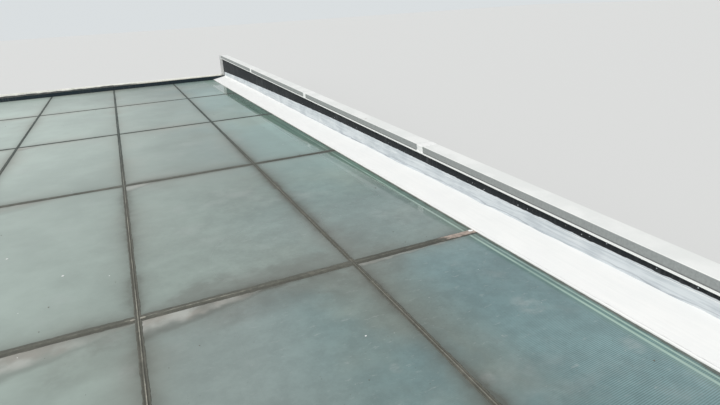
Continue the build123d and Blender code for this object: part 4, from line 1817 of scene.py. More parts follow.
class FixingTree(GeometryTree):
    """Sets a fixing on each point of a mesh, looking the way that the point faces."""

    name = "fixings_on_points"
    inputs = {
        "Head": "NodeSocketObject",
        "Most turn": "NodeSocketFloat",
        "Seed": "NodeSocketInt",
    }

    def wire(self) -> Socket:
        """Wires the instances, each turned a little about its own axis.

        Returns:
            The finished geometry.
        """
        facing = self.node(
            "GeometryNodeInputNamedAttribute", {"Name": "facing"}, data_type="FLOAT_VECTOR"
        )
        upright = self.node("FunctionNodeAlignRotationToVector", {"Vector": facing}, axis="Z")
        angle = self.chance(0.0, self.start["Most turn"], self.start["Seed"])
        feeds = {
            "Points": self.start["Geometry"],
            "Instance": self.shape("Head"),
            "Rotation": self.spun(upright, angle),
        }
        return self.node("GeometryNodeInstanceOnPoints", feeds)


class ScatterTree(GeometryTree):
    """Scatters a small shape over faces, at random sizes and turns."""

    name = "scatter_on_faces"
    inputs = {
        "Shape": "NodeSocketObject",
        **dict.fromkeys(("Density", "Smallest", "Largest"), "NodeSocketFloat"),
        "Seed": "NodeSocketInt",
    }

    def wire(self) -> Socket:
        """Wires the points and the instances on them.

        Returns:
            The finished geometry.
        """
        start = self.start
        feeds = {"Mesh": start["Geometry"], "Density": start["Density"], "Seed": start["Seed"]}
        points = self.sheet.add("GeometryNodeDistributePointsOnFaces", feeds).outputs
        feeds = {
            "Points": points["Points"],
            "Instance": self.shape("Shape"),
            "Rotation": self.spun(points["Rotation"], self.chance(0.0, 2 * pi)),
            "Scale": self.chance(start["Smallest"], start["Largest"], start["Seed"]),
        }
        return self.node("GeometryNodeInstanceOnPoints", feeds)

    def scatter(
        self,
        base: bpy.types.Mesh,
        shape: bpy.types.Mesh,
        density: float,
        sizes: Pair,
        seed: int,
        material: Material,
    ) -> bpy.types.Object:
        """Scatters a shape over the faces of a mesh.

        Args:
            base: The faces, with the new piece's name.
            shape: The shape.
            density: Number of shapes to a square metre.
            sizes: The smallest and the largest size, as shares of the shape's own.
            seed: Number that the chances start from.
            material: The shapes' material.

        Returns:
            The finished piece.
        """
        values = {
            "Shape": put(shape.name, shape),
            "Density": density,
            "Smallest": sizes[0],
            "Largest": sizes[1],
            "Seed": seed,
            "Material": material,
        }
        return self.run(base, values)


def facing_points(name: str, points: Sequence[tuple[Point, Side]]) -> bpy.types.Mesh:
    """Makes a mesh of bare points that each know the way they face.

    Args:
        name: The mesh's name.
        points: Place and side of each point.

    Returns:
        The mesh, with the direction in its attribute "facing".
    """
    mesh = plain_mesh(name, [place for place, _ in points])
    facing = mesh.attributes.new("facing", "FLOAT_VECTOR", "POINT")
    for item, (_, side) in zip(facing.data, points):
        item.vector = side.value
    return mesh


# Sub-assemblies

# How far the underside of a coat lies in what it covers
SUNK = 0.0004


@dataclass
class PackedNodes:
    """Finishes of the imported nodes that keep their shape."""

    sheet_dust: float = 0.35
    far_kerb_dust: float = 0.80
    far_kerb_coat: Colour = (0.028, 0.042, 0.052)
    bed_height: float = 0.004

    def finishes(self) -> dict[str, Material]:
        """Builds one material for each kind of node.

        Returns:
            The materials by kind.
        """
        bed_level = GRID.top + self.bed_height
        far_kerb = DarkMetal(
            coat=self.far_kerb_coat,
            dust_strength=self.far_kerb_dust,
            dust_share=0.7,
            spatter_share=0.03,
        )
        return {
            "glass": FrostedGlass().material(),
            "paint": FramePaint().material(),
            "aluminium": BarAluminium().material(),
            "rubber": GasketRubber().material(),
            "sealant": WeatheredSealant(level=bed_level).material("sealant_bed"),
            "foam": FoamRod().material(),
            "dark": DarkMetal(dust_strength=self.sheet_dust).material(),
            "far kerb": far_kerb.material("dark_metal_far_kerb"),
            "white": WhiteCoating().material(),
            "membrane": MembranePaint().material(),
            "cap": CapCoating().material(),
            "mortar": Mortar().material(),
        }

    def kind(self, node: str) -> str:
        """Returns the kind of finish that a node has, from the start of its name.

        Args:
            node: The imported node's name.

        Returns:
            The kind.
        """
        kinds = {
            "glass": ("glass_row",),
            "rubber": ("glass_gaskets",),
            "aluminium": ("glazing_bar", "cross_glazing_bars", "edge_angle"),
            "sealant": ("edge_seals", "trim_beds", "long_joint_seals", "cross_joint_seals"),
            "foam": ("backer_rods",),
            "white": ("side_flashing", "kerb_end_far"),
            "cap": ("kerb_cap",),
            "membrane": ("membrane",),
            "mortar": ("far_kerb_capping",),
            "far kerb": ("far_kerb",),
            "dark": ("kerb_face", "kerb_back", "kerb_end_near", "left_trim", "near_trim"),
        }
        return next((kind for kind, starts in kinds.items() if node.startswith(starts)), "paint")

    def dress(self) -> dict[str, Material]:
        """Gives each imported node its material.

        Returns:
            The materials by kind, for the pieces that share them.
        """
        materials = self.finishes()
        for name, node in frame["nodes"].items():
            material = materials[self.kind(name)]
            node.data.materials.clear()
            node.data.materials.append(material)
            log.info("%s: packed node, finish %s", name, material.name)
        return materials


@dataclass
class JointSealing:
    """Sealant that fills the joints, with a ridge over the glazing bars' webs.

    Each profile runs from left to right over the joint: distance from its centre line and level
    over the glass, in metres. A joint along has the same profile on both sides, and only its left
    half is given. The left of a joint across is its far side, where the sealant is smeared out
    over the glass.
    """

    along: tuple[Pair, ...] = (
        (-0.0168, 0.0002), (-0.0140, 0.0006), (-0.0110, 0.0002), (-0.0080, -0.0014),
        (-0.0046, -0.0014), (-0.0029, 0.0004), (-0.0016, 0.0021), (0.0, 0.0023),
    )
    across: tuple[Pair, ...] = (
        (-0.0480, 0.0002), (-0.0440, 0.0006), (-0.0380, 0.0007), (-0.0260, 0.0006),
        (-0.0200, 0.0018), (-0.0160, 0.0009), (-0.0120, 0.0003), (-0.0080, -0.0008),
        (-0.0035, -0.0011), (0.0000, -0.0009), (0.0035, -0.0011), (0.0065, -0.0015),
        (0.0090, -0.0006), (0.0115, 0.0006), (0.0138, 0.0008), (0.0165, 0.0002),
    )
    gap: float = 0.0094
    slant: float = 0.0022
    shelf: float = -0.0014
    foot: float = -0.0032
    end_lap: float = 0.004
    side_lap: float = 0.002
    hand: BeadHand = BeadHand(step=0.016, waver=0.0024, lift=0.0005, core=0.010)

    def build(self, tree: BeadTree, material: Material) -> None:
        """Draws the joints along and across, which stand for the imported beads.

        Args:
            tree: Draws the beads.
            material: The sealant's material.
        """
        level = GRID.top
        near, far = GRID.near - self.end_lap, GRID.far + self.end_lap
        along = [[(x, near, level), (x, far, level)] for x in GRID.long_joints]
        across = [
            [(start - self.side_lap, y, level), (end + self.side_lap, y, level)]
            for y in GRID.cross_joints
            for start, end in GRID.pane_spans
        ]
        right_half = [(-x, z) for x, z in self.along[-2::-1]]
        in_the_gap = (
            (self.gap + self.slant, self.shelf),
            (self.gap, self.foot),
            (-self.gap, self.foot),
            (-self.gap - self.slant, self.shelf),
        )
        runs = (
            ("long_joint_sealing", along, (*self.along, *right_half), 3.0, "long_joint_seals"),
            ("cross_joint_sealing", across, self.across, 11.0, "cross_joint_seals"),
        )
        for name, paths, top, seed, node in runs:
            profile = (*top, *in_the_gap)
            piece = tree.draw(path_mesh(name, paths), profile, self.hand, seed, material)
            finish_piece(piece, "weathered_sealant", node)


@dataclass
class MembraneUpturn:
    """Membrane painted over the flashing's fold and upturn, and on over the kerb's face.

    At places along Y, upper_edge gives the height of its upper edge over the glass and
    lower_edge how far it laps down the slope under the fold, or stops short of it, in metres.
    The three sets of parts say where its points lie on the slope, the upturn and the face.
    """

    fold_height: float = 0.061
    flashing_foot: float = 0.007
    sheet: float = 0.003
    lap_change: float = 0.008
    coat: float = 0.0021
    thin_edge: float = 0.0005
    lump: float = 0.0016
    corner_fill: float = 0.005
    full_fill_lap: float = 0.006
    step: float = 0.020
    slope_parts: tuple[float, ...] = (1.0, 0.82, 0.62, 0.42, 0.24, 0.10)
    upturn_parts: tuple[float, ...] = (0.08, 0.2, 0.35, 0.5, 0.65, 0.8, 0.93)
    face_parts: tuple[float, ...] = (0.05, 0.35, 0.7, 1.0)
    upper_edge: tuple[Pair, ...] = (
        (-6.23, 0.142), (-4.40, 0.141), (-3.40, 0.149), (-2.20, 0.168),
        (-0.40, 0.188), (1.60, 0.186), (4.50, 0.172), (6.16, 0.152),
    )
    lower_edge: tuple[Pair, ...] = (
        (-6.23, 0.001), (-5.00, 0.006), (-4.50, 0.012), (-3.80, 0.010), (-3.55, 0.010),
        (-3.43, 0.018), (-3.25, 0.007), (-2.40, 0.018), (-1.90, 0.014), (-0.10, 0.012),
        (2.50, -0.013), (4.90, -0.022), (6.16, -0.022),
    )

    def edge_level(self, y: float) -> float:
        """Finds the ragged upper edge, which never falls to the flashing's own edge.

        Args:
            y: Place along Y.

        Returns:
            The edge's level.
        """
        height = table_value(self.upper_edge, y)
        ragged = 0.0040 * ripple(y * 9.0, 1.0) + 0.0035 * ripple(y * 31.0, 2.0)
        drip = 0.014 * max(0.0, ripple(y * 4.3, 7.0) - 0.38)
        return GRID.top + max(height + ragged + drip, KERB.upturn_top - GRID.top + 0.002)

    def base_line(self, y: float) -> list[tuple[float, float, float, float]]:
        """Draws the line under the coat, from its lower to its upper edge.

        Args:
            y: Place along Y.

        Returns:
            Place in X and Z, and the way out in X and Z, of each point.
        """
        fold = Vector((KERB.face - self.sheet, GRID.top + self.fold_height))
        foot = Vector((KERB.flashing_edge, GRID.top + self.flashing_foot))
        down = (foot - fold).normalized()
        out = Vector((down.y, -down.x)) * (-1.0 if -down.x < 0 else 1.0)
        lap = table_value(self.lower_edge, y)
        lap += self.lap_change * (ripple(y * 1.7, 3.0) + 0.6 * ripple(y * 8.0, 4.0))
        below, short = max(lap, 0.0), max(-lap, 0.0)
        line = []
        for part in self.slope_parts:
            point = fold + down * (below * part) + Vector((0.0, short))
            line.append((point.x, point.y, out.x, out.y))
        fill = self.corner_fill * min(1.0, below / self.full_fill_lap)
        corner = fold + Vector((-0.5, 0.5)) * fill + Vector((0.0, short))
        line.append((corner.x, corner.y, -0.7, 0.7))
        start, top, edge = fold.y + short, KERB.upturn_top, self.edge_level(y)
        for x, low, high, parts in (
            (fold.x, start, top, self.upturn_parts),
            (KERB.face, top, edge, self.face_parts),
        ):
            line += [(x, low + (high - low) * part, -1.0, 0.0) for part in parts]
        return line

    def ring(self, y: float) -> list[Point]:
        """Draws the closed section of the coat, lumpy and thin at both edges.

        Args:
            y: Place along Y.

        Returns:
            The section's points.
        """
        outer, inner = [], []
        line = self.base_line(y)
        for i, (x, z, out_x, out_z) in enumerate(line):
            lump = ripple(y * 6.0, z * 60.0, i * 0.9) + 0.7 * ripple(y * 2.2, z * 140.0, 5.0 + i)
            ends = min(i, len(line) - 1 - i)
            coat = self.coat + self.lump * lump * min(1.0, ends / 2) if ends else self.thin_edge
            coat = max(coat, self.thin_edge)
            outer.append((x + out_x * coat, y, z + out_z * coat))
            inner.append((x - out_x * SUNK, y, z - out_z * SUNK))
        return outer + inner[::-1]

    def build(self, material: Material) -> None:
        """Lofts the coat from the near end to the far kerb.

        Args:
            material: The coat's material.
        """
        low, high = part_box("membrane_upturn")
        count = round((high.y - low.y) / self.step)
        places = np.linspace(low.y, high.y, count + 1)
        mesh = loft("membrane_coat", [self.ring(float(y)) for y in places])
        dressed_piece(mesh, material, "membrane", "membrane_upturn")


@dataclass
class FlashingEdge:
    """White coating brushed over the flashing's edge and down onto the glass.

    The profile runs from the glass up and over the edge: distance from the edge and level over
    the glass, in metres.
    """

    profile: tuple[Pair, ...] = (
        (-0.0042, 0.0001), (-0.0040, 0.0020), (-0.0028, 0.0070), (-0.0008, 0.0102),
        (0.0040, 0.0118), (0.0080, 0.0116), (0.0070, 0.0070), (0.0020, 0.0004),
    )
    hand: BeadHand = BeadHand(step=0.018, waver=0.0022, lift=0.0004, core=0.004)
    seed: float = 21.0

    def build(self, tree: BeadTree, material: Material) -> None:
        """Draws the coating along the whole edge.

        Args:
            tree: Draws the bead.
            material: The coating's material.
        """
        path = [(KERB.flashing_edge, y, GRID.top) for y in (GRID.near, KERB.far_kerb_front)]
        paths = path_mesh("flashing_edge_coat", [path])
        piece = tree.draw(paths, self.profile, self.hand, self.seed, material)
        finish_piece(piece, "white_coating")


@dataclass
class CapJoints:
    """Bands of white caulk over the joints between the cap's lengths.

    The crown gives places across a band and the caulk's thickness there, as shares of the whole.
    """

    first_length: float = 0.650
    length: float = 3.000
    width: float = 0.100
    thickness: float = 0.0022
    edge_change: float = 0.22
    lump: float = 0.35
    fold: float = 0.004
    rounding: float = 0.003
    sections: int = 44
    crown: tuple[Pair, ...] = (
        (0.0, 0.15), (0.12, 0.7), (0.35, 1.0), (0.5, 1.25), (0.65, 1.0), (0.88, 0.7), (1.0, 0.15),
    )

    def outline(self, y: float) -> list[tuple[float, ...]]:
        """Draws the way round the cap, from its front foot to its back foot.

        Args:
            y: Place along Y.

        Returns:
            Place in X and Z, and the way out in X and Z, of each point.
        """
        top = KERB.cap_top(y)
        foot = top - KERB.fascia_height
        front, back = KERB.cap_front, KERB.cap_back
        lip, fold, side = foot + LIP_HEIGHT, self.fold, top - self.rounding
        corners = [
            (front, foot + 0.001, -1.0, 0.0),
            (front, lip, -1.0, 0.0),
            (front, lip, -0.7, 0.7),
            (front + fold, lip, -1.0, 0.3),
            (front + fold, side, -1.0, 0.0),
            (front + fold + self.rounding, top, 0.0, 1.0),
            (back - fold - self.rounding, top, 0.0, 1.0),
            (back - fold, side, 1.0, 0.0),
            (back - fold, lip + 0.006, 1.0, 0.0),
        ]
        runs = [hypot(b[0] - a[0], b[1] - a[1]) for a, b in zip(corners, corners[1:])]
        gone = np.concatenate(([0.0], np.cumsum(runs)))
        stations = sorted({*np.linspace(0.0, gone[-1], self.sections), *gone})
        return [
            tuple(float(np.interp(station, gone, values)) for values in zip(*corners))
            for station in stations
        ]

    def rings(self, y: float) -> list[list[Point]]:
        """Draws the closed sections of one band, from its front foot to its back foot.

        Args:
            y: Place of the joint along Y.

        Returns:
            The points of each section.
        """
        rings = []
        for i, (x, z, out_x, out_z) in enumerate(self.outline(y)):
            near = -self.width / 2 * (1.0 + self.edge_change * ripple(i * 0.31, y, 1.0))
            far = self.width / 2 * (1.0 + self.edge_change * ripple(i * 0.31, y, 9.0))
            coats = [
                (part, self.thickness * thick * (1.0 + self.lump * ripple(i * 0.5, part * 4.0, y)))
                for part, thick in self.crown
            ]
            ring = []
            for part, coat in (*coats, (1.0, -SUNK), (0.5, -SUNK), (0.0, -SUNK)):
                across = near + (far - near) * part
                rise = KERB.slope * across
                ring.append((x + out_x * coat, y + across, z + out_z * coat + rise))
            rings.append(ring)
        return rings

    def build(self, material: Material) -> None:
        """Lays a band over each joint of the cap."""
        places = np.arange(KERB.near + self.first_length, KERB.far, self.length)
        bands = [loft(f"cap_band_{i}", self.rings(float(y))) for i, y in enumerate(places)]
        dressed_piece(joined("cap_joint_caulk", bands), material, "white_coating")


@dataclass
class FarKerbCapping:
    """Mortar floated onto the far kerb by hand, lumpy and kept inside its packed box."""

    node: str = "far_kerb_capping"
    bevel: float = 0.012
    lump: float = 0.0030
    lean: float = 0.36
    step: float = 0.035
    least_height: float = 0.004
    end_reach: float = 0.01

    def ring(self, x: float, low: Vector, high: Vector, top: float) -> list[Point]:
        """Draws the closed section from its near foot round to its far foot.

        Args:
            x: Place of the section.
            low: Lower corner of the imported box.
            high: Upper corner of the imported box.
            top: Level of the section's top.

        Returns:
            The section's points.
        """
        near, far = low.y, high.y
        height = top - self.bevel - low.z
        lean = height * self.lean
        crest = near + lean + self.bevel
        steps = [
            (near, low.z),
            (near + lean * 0.35, low.z + height * 0.35),
            (near + lean * 0.70, low.z + height * 0.70),
            (near + lean, top - self.bevel),
            (near + lean + self.bevel * 0.35, top - self.bevel * 0.4),
            (crest, top),
            *((crest + (far - crest) * part, top) for part in (0.3, 0.65)),
            (far, top),
            (far, low.z),
        ]
        ring = []
        for i, (y, z) in enumerate(steps):
            sink = self.lump * (0.5 + 0.5 * ripple(x * 7.0, y * 40.0, z * 40.0 + i))
            drop = self.lump * (0.5 + 0.5 * ripple(x * 5.0, y * 40.0 + i, 3.0))
            foot = i in (0, len(steps) - 1)
            inward = sink if y < far else 0.0
            ring.append((x, y + inward, z if foot else max(z - drop, low.z + self.least_height)))
        return ring

    def tops(self, left: float, right: float) -> Pair:
        """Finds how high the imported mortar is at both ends.

        Args:
            left: Place of its left end.
            right: Place of its right end.

        Returns:
            The level of its top at its left and at its right end.
        """
        points = [vertex.co for vertex in frame["nodes"][self.node].data.vertices]
        at_left = max(point.z for point in points if point.x < left + self.end_reach)
        at_right = max(point.z for point in points if point.x > right - self.end_reach)
        return at_left, at_right

    def build(self, material: Material) -> None:
        """Lofts the mortar from the left end to the kerb's end, thinner to the right.

        Args:
            material: The mortar's material.
        """
        low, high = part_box(self.node)
        left_top, right_top = self.tops(low.x, high.x)
        count = round((high.x - low.x) / self.step)
        rings = []
        for i in range(count + 1):
            part = i / count
            top = left_top + (right_top - left_top) * part
            rings.append(self.ring(low.x + (high.x - low.x) * part, low, high, top))
        dressed_piece(loft("mortar_capping", rings), material, "mortar", self.node)


@dataclass
class PaintSplashes:
    """Drops of membrane paint on the kerb's face, above the membrane."""

    drop_radius: float = 0.0028
    drop_thickness: float = 0.0012
    face_density: float = 170.0
    sizes: Pair = (0.2, 1.4)
    strip_height: float = 0.032
    end_gap: float = 0.05
    drip_gap: float = 0.004
    stations: int = 60
    seed: int = 5

    def strip(self) -> bpy.types.Mesh:
        """Makes the strip of the kerb's face, up to the cap's drip edge, that the drops lie on.

        Returns:
            The strip, with the splashes' name.
        """
        membrane = MembraneUpturn()
        ends = (KERB.near + self.end_gap, KERB.far_kerb_front - self.end_gap)
        points = []
        for y in map(float, np.linspace(*ends, self.stations)):
            low = membrane.edge_level(y)
            drip = KERB.cap_top(y) - KERB.fascia_height
            high = min(low + self.strip_height, drip - self.drip_gap)
            points += [(KERB.face, y, low), (KERB.face, y, max(high, low + 0.001))]
        faces = [(i, i + 1, i + 3, i + 2) for i in range(0, len(points) - 2, 2)]
        return plain_mesh("paint_splashes", points, faces=faces)

    def build(self, tree: ScatterTree, material: Material) -> None:
        """Scatters flat drops over the strip.

        Args:
            tree: Scatters them.
            material: The paint's material.
        """
        radius, thickness = self.drop_radius, self.drop_thickness
        outline = [(radius, -SUNK), (radius * 0.9, thickness * 0.6), (radius * 0.45, thickness)]
        drop = turned("paint_drop", outline, 7)
        density = self.face_density
        piece = tree.scatter(self.strip(), drop, density, self.sizes, self.seed, material)
        finish_piece(piece, "membrane")


@dataclass
class GlassLitter:
    """Chalky spots and dark crumbs that lie here and there on the glass."""

    pale_density: float = 0.9
    dark_density: float = 1.7
    pale_thickness: float = 0.0006
    dark_thickness: float = 0.0022
    radius: float = 0.003
    sunk: float = 0.0003
    sizes: Pair = (0.4, 1.8)
    inset: float = 0.08

    def field(self, name: str) -> bpy.types.Mesh:
        """Returns the visible glass as one plain face, just inside its edges."""
        low = (GRID.left + self.inset, GRID.near + self.inset)
        high = (KERB.flashing_edge - self.inset, GRID.far - self.inset)
        return level_face(name, low, high, GRID.top)

    def build(self, tree: ScatterTree, pale: Material, dark: Material) -> None:
        """Scatters the spots and the crumbs.

        Args:
            tree: Scatters them.
            pale: Material of the spots.
            dark: Material of the crumbs.
        """
        kinds = (
            ("chalk_spots", self.pale_density, pale, "white_coating", self.pale_thickness, 3),
            ("dirt_crumbs", self.dark_density, dark, "weathered_sealant", self.dark_thickness, 8),
        )
        foot = (self.radius, -self.sunk)
        for name, density, material, slot, thickness, seed in kinds:
            outline = [foot, (self.radius * 0.85, thickness * 0.7), (self.radius * 0.3, thickness)]
            shape = turned(f"{name}_shape", outline, 6)
            piece = tree.scatter(self.field(name), shape, density, self.sizes, seed, material)
            finish_piece(piece, slot)


@dataclass
class CoatingDabs:
    """Dabs of white coating that fell on the glass and on its joints.

    Each dab is its place along X and Y, its half length along X and its half width along Y.
    """

    places: tuple[tuple[float, float, float, float], ...] = (
        (2.030, -3.692, 0.018, 0.014),
        (-0.452, -2.960, 0.008, 0.006),
        (-0.814, -2.482, 0.007, 0.007),
        (0.912, -4.419, 0.005, 0.004),
    )
    beside_crossing: tuple[tuple[float, float, float, float], ...] = (
        (-0.083, -3.711, 0.014, 0.009),
        (-0.033, -3.710, 0.016, 0.009),
    )
    dust: Colour = (0.330, 0.310, 0.270)
    thickness: float = 0.0026
    ragged: float = 0.24
    sides: int = 18

    def dab(self, x: float, y: float, half_x: float, half_y: float) -> bpy.types.Mesh:
        """Makes one flat dab with a ragged rim.

        Args:
            x: Place along X.
            y: Place along Y.
            half_x: Half its length.
            half_y: Half its width.

        Returns:
            The closed mesh.
        """
        full = self.thickness
        rings = []
        for reach, height in ((1.0, -SUNK), (0.94, 0.5 * full), (0.65, full), (0.10, full)):
            ring = []
            for i in range(self.sides):
                angle = 2 * pi * i / self.sides
                to_x, to_y = cos(angle), sin(angle)
                out = reach * (1.0 + self.ragged * ripple(3.0 * to_x, 3.0 * to_y, x * 9.0))
                ring.append((x + half_x * out * to_x, y + half_y * out * to_y, GRID.top + height))
            rings.append(ring)
        return loft("dab", rings)

    def build(self, white: Material) -> None:
        """Lays the white dabs, and the dusty ones beside a crossing of the joints.

        Args:
            white: Material of the white dabs.
        """
        dusty = WeatheredSealant(hollow_dirt_and_shade=self.dust, body=self.dust, level=GRID.top)
        dust = dusty.material("dusty_sealant")
        kinds = (
            ("coating_dabs", self.places, white, "white_coating"),
            ("dusty_dabs", self.beside_crossing, dust, "weathered_sealant"),
        )
        for name, places, material, slot in kinds:
            dressed_piece(joined(name, [self.dab(*place) for place in places]), material, slot)


@dataclass
class Fixings:
    """Anchor bolts in the base plates, and the screws and rivets of the folded sheets.

    Each turned shape is radius and height of its points, in metres.
    """

    anchor_radius: float = 0.008
    nut: tuple[Pair, ...] = ((0.0130, 0.0032), (0.0138, 0.0045), (0.0138, 0.0150), (0.0125, 0.0162))
    screw_washer: tuple[Pair, ...] = ((0.0075, -0.0002), (0.0075, 0.0010), (0.0068, 0.0016))
    screw_head: tuple[Pair, ...] = ((0.0045, 0.0012), (0.0043, 0.0028), (0.0030, 0.0038))
    rivet_head: tuple[Pair, ...] = ((0.0045, -0.0002), (0.0042, 0.0007), (0.0026, 0.0014))
    screw_pitch: float = 0.45
    rivet_pitch: float = 0.30

    def bolt(self) -> bpy.types.Mesh:
        """Makes an anchor's stud with its washer and its six-sided nut, on the plate's top.

        Returns:
            The bolt.
        """
        r = self.anchor_radius
        stud = turned("stud", [(r, -0.0145), (r, 0.023), (r * 0.8, 0.025)], 16)
        washer = turned("washer", [(r * 1.9, 0.0002), (r * 1.9, 0.003), (r * 1.8, 0.0032)], 20)
        return joined("anchor_bolt", [stud, washer, turned("nut", self.nut, 6)])

    def screw(self) -> bpy.types.Mesh:
        """Returns the washer and the domed head of a sheet screw."""
        washer = turned("screw_washer", self.screw_washer, 14)
        return joined("sheet_screw", [washer, turned("screw_head", self.screw_head, 10)])

    def anchor_points(self) -> list[tuple[Point, Side]]:
        """Finds the middles of the anchor holes on the plates' top.

        Returns:
            Place and side of each.
        """
        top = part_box("base_plates")[1].z
        points = []
        for mount in frame["record"]["mounts"]:
            if mount["kind"] == "bolt_pattern":
                x, y, _ = mount["pos_m"]
                half = mount["dims"]["spacing_x_mm"] / 2000.0
                points += [((x - half, y, top), Side.UP), ((x + half, y, top), Side.UP)]
        return points

    def screw_points(self) -> list[tuple[Point, Side]]:
        """Sets out the screws down the outer faces of the left and the near trim.

        Returns:
            Place and side of each.
        """
        left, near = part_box("left_trim"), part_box("near_trim")
        level = left[0].z + 0.030
        run = even_places(left[0].y + 0.10, left[1].y - 0.10, self.screw_pitch)
        points = [((left[0].x, y, level), Side.LEFT) for y in run]
        run = even_places(near[0].x + 0.12, near[1].x - 0.10, self.screw_pitch)
        return points + [((x, near[0].y, level), Side.NEAR) for x in run]

    def rivet_points(self) -> list[tuple[Point, Side]]:
        """Sets out the rivets along the foot of the kerb's back sheet and of the far kerb.

        Returns:
            Place and side of each.
        """
        back_low, back_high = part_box("kerb_back")
        far_low, far_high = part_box("far_kerb")
        run = even_places(back_low.y + 0.06, back_high.y - 0.06, self.rivet_pitch)
        points = [((back_high.x, y, back_low.z + 0.022), Side.RIGHT) for y in run]
        run = even_places(far_low.x + 0.08, far_high.x - 0.08, self.rivet_pitch)
        return points + [((x, far_high.y, far_low.z + 0.025), Side.FAR) for x in run]

    def build(self, tree: FixingTree, steel: Material, dark: Material) -> None:
        """Sets all the fixings.

        Args:
            tree: Sets them.
            steel: Material of the anchor bolts.
            dark: Material of the screws and rivets.
        """
        rivet = turned("rivet", self.rivet_head, 10)
        kinds = (
            ("anchor_bolts", self.bolt(), self.anchor_points(), steel, "frame_paint"),
            ("trim_screws", self.screw(), self.screw_points(), dark, "dark_metal"),
            ("sheet_rivets", rivet, self.rivet_points(), dark, "dark_metal"),
        )
        for seed, (name, head, points, material, slot) in enumerate(kinds, start=1):
            values = {
                "Head": put(head.name, head),
                "Most turn": 2 * pi,
                "Seed": seed,
                "Material": material,
            }
            finish_piece(tree.run(facing_points(name, points), values), slot)


@dataclass
class FrameWelds:
    """Fillet welds round the ends of the cross beams and of the rafters."""

    radius: float = 0.0032
    ripple: float = 0.007
    step: float = 0.010
    sides: int = 5
    corner: float = 0.010
    stop: float = 0.004

    def beam_end(self, x: float, low: Vector, high: Vector) -> list[Point]:
        """Draws the way round a cross beam's end, which meets a face across X.

        Args:
            x: Place of the end.
            low: Lower corner of the beam's box.
            high: Upper corner of the beam's box.

        Returns:
            The points, round to the start.
        """
        c = self.corner
        outline = (
            (low.y + c, low.z), (high.y - c, low.z), (high.y, low.z + c), (high.y, high.z - c),
            (high.y - c, high.z), (low.y + c, high.z), (low.y, high.z - c), (low.y, low.z + c),
        )
        return [(x, y, z) for y, z in outline]

    def rafter_end(self, y: float, low: Vector, high: Vector) -> list[Point]:
        """Draws the way round the sides and the foot of a rafter's end.

        Args:
            y: Place of the end, which meets a face across Y.
            low: Lower corner of the rafters' box.
            high: Upper corner of the rafters' box.

        Returns:
            The points, from the left side's top round to the right side's.
        """
        top = high.z - self.stop
        return [(low.x, y, top), (low.x, y, low.z), (high.x, y, low.z), (high.x, y, top)]

    def build(self, tree: WeldTree, material: Material) -> None:
        """Welds every cross beam to the side beams, and every rafter to the cross beams.

        Args:
            tree: Lays the welds.
            material: The welds' material.
        """
        beams = sorted(name for name in frame["nodes"] if name.startswith("cross_beam"))
        boxes = [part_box(name) for name in beams]
        rings = [self.beam_end(x, low, high) for low, high in boxes for x in (low.x, high.x)]
        seams = []
        for letter in "abcd":
            low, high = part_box(f"rafters_line_{letter}")
            for before, after in zip(boxes, boxes[1:]):
                seams += [self.rafter_end(y, low, high) for y in (before[1].y, after[0].y)]
        values = {
            "Radius": self.radius,
            "Ripple": self.ripple,
            "Step": self.step,
            "Sides": self.sides,
            "Material": material,
        }
        for name, paths, closed in (("beam_welds", rings, True), ("rafter_welds", seams, False)):
            finish_piece(tree.run(path_mesh(name, paths, closed), values), "frame_paint")


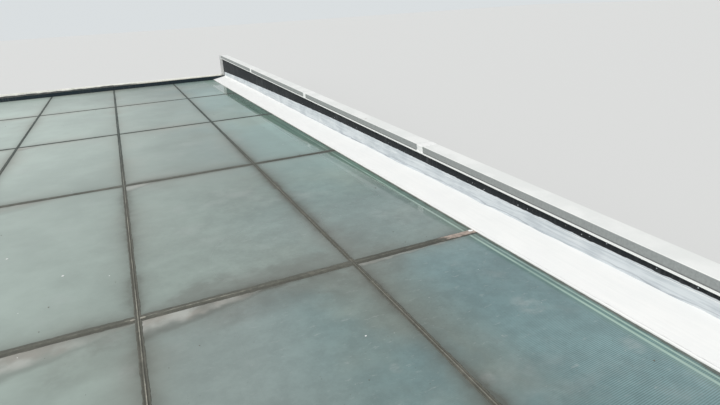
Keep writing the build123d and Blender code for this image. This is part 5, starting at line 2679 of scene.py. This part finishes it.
@dataclass
class Studio:
    """Camera, lamps, floor and background.

    place, ahead and above give the camera's place, the way it looks and its upward direction.
    """

    place: Point = (0.0970, -6.3168, 1.6530)
    ahead: Point = (0.372188, 0.856835, -0.356805)
    above: Point = (0.195005, 0.303655, 0.932613)
    lens: float = 26.09
    sensor: float = 36.0
    nearest: float = 0.02
    farthest: float = 400.0
    sun_way: Point = (0.60, 0.28, -0.75)
    sun_strength: float = 2.26
    sun_degrees: float = 35.0
    sun_colour: Colour = (1.0, 0.985, 0.955)
    sky: Colour = (0.860, 0.880, 0.900)
    sky_strength: float = 0.55
    pale: Colour = (0.700, 0.735, 0.750)
    floor_colour: Colour = (0.700, 0.705, 0.700)
    floor_reach: float = 60.0

    def camera(self) -> None:
        """Places the camera as the photograph was taken."""
        data = bpy.data.cameras.new("camera")
        data.sensor_width = self.sensor
        data.lens = self.lens
        data.clip_start = self.nearest
        data.clip_end = self.farthest
        camera = put("camera", data)
        back = -Vector(self.ahead).normalized()
        right = Vector(self.above).cross(back).normalized()
        up = back.cross(right)
        turn = Matrix((right, up, back)).transposed().to_4x4()
        camera.matrix_world = Matrix.Translation(self.place) @ turn
        bpy.context.scene.camera = camera

    def lamps(self) -> None:
        """Hangs one broad soft sun over the left shoulder of the camera."""
        data = bpy.data.lights.new("soft_sun", "SUN")
        data.energy = self.sun_strength
        data.angle = radians(self.sun_degrees)
        data.color = self.sun_colour
        sun = put("soft_sun", data)
        sun.rotation_mode = "QUATERNION"
        sun.rotation_quaternion = Vector(self.sun_way).to_track_quat("-Z", "Y")

    def world(self) -> None:
        """Lights the object from all round, and shows a pale ground to the camera and in gloss."""
        world = bpy.data.worlds.new("sky")
        bpy.context.scene.world = world
        world.use_nodes = True
        world.node_tree.nodes.clear()
        sheet = NodeSheet(world.node_tree)
        light, shown = (
            sheet.add("ShaderNodeBackground", {0: opaque(colour), 1: strength}).outputs[0]
            for colour, strength in ((self.sky, self.sky_strength), (self.pale, 1.0))
        )
        ray = sheet.add("ShaderNodeLightPath", {}).outputs
        seen = sheet.most(ray["Is Camera Ray"], ray["Is Glossy Ray"], ray["Is Transmission Ray"])
        mixed = sheet.add("ShaderNodeMixShader", {0: seen, 1: light, 2: shown}).outputs[0]
        sheet.add("ShaderNodeOutputWorld", {0: mixed})

    def floor(self) -> None:
        """Lays a plain pale floor under the object."""
        reach = self.floor_reach
        mesh = level_face("floor", (-reach, -reach), (reach, reach), 0.0)
        material = bpy.data.materials.new("floor")
        material.use_nodes = True
        shader = material.node_tree.nodes["Principled BSDF"]
        shader.inputs["Base Color"].default_value = opaque(self.floor_colour)
        shader.inputs["Roughness"].default_value = 0.9
        mesh.materials.append(material)
        put("floor", mesh)

    def build(self) -> None:
        """Sets up the whole studio."""
        self.camera()
        self.lamps()
        self.world()
        self.floor()
        bpy.context.scene.view_settings.view_transform = "Standard"


def main() -> None:
    """Builds the skylight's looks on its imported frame."""
    logging.basicConfig(level=logging.INFO, format="%(name)s: %(message)s")
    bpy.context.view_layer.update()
    materials = PackedNodes().dress()

    joint_sealant = WeatheredSealant(level=GRID.top).material()
    bead = BeadTree()
    JointSealing().build(bead, joint_sealant)
    MembraneUpturn().build(materials["membrane"])
    FlashingEdge().build(bead, materials["white"])
    CapJoints().build(materials["white"])
    FarKerbCapping().build(materials["mortar"])
    scatter = ScatterTree()
    PaintSplashes().build(scatter, materials["membrane"])
    GlassLitter().build(scatter, materials["white"], joint_sealant)
    CoatingDabs().build(materials["white"])
    Fixings().build(FixingTree(), materials["paint"], materials["dark"])
    FrameWelds().build(WeldTree(), materials["paint"])
    Studio().build()

    log.info("boxes written")


if __name__ == "__main__":
    main()
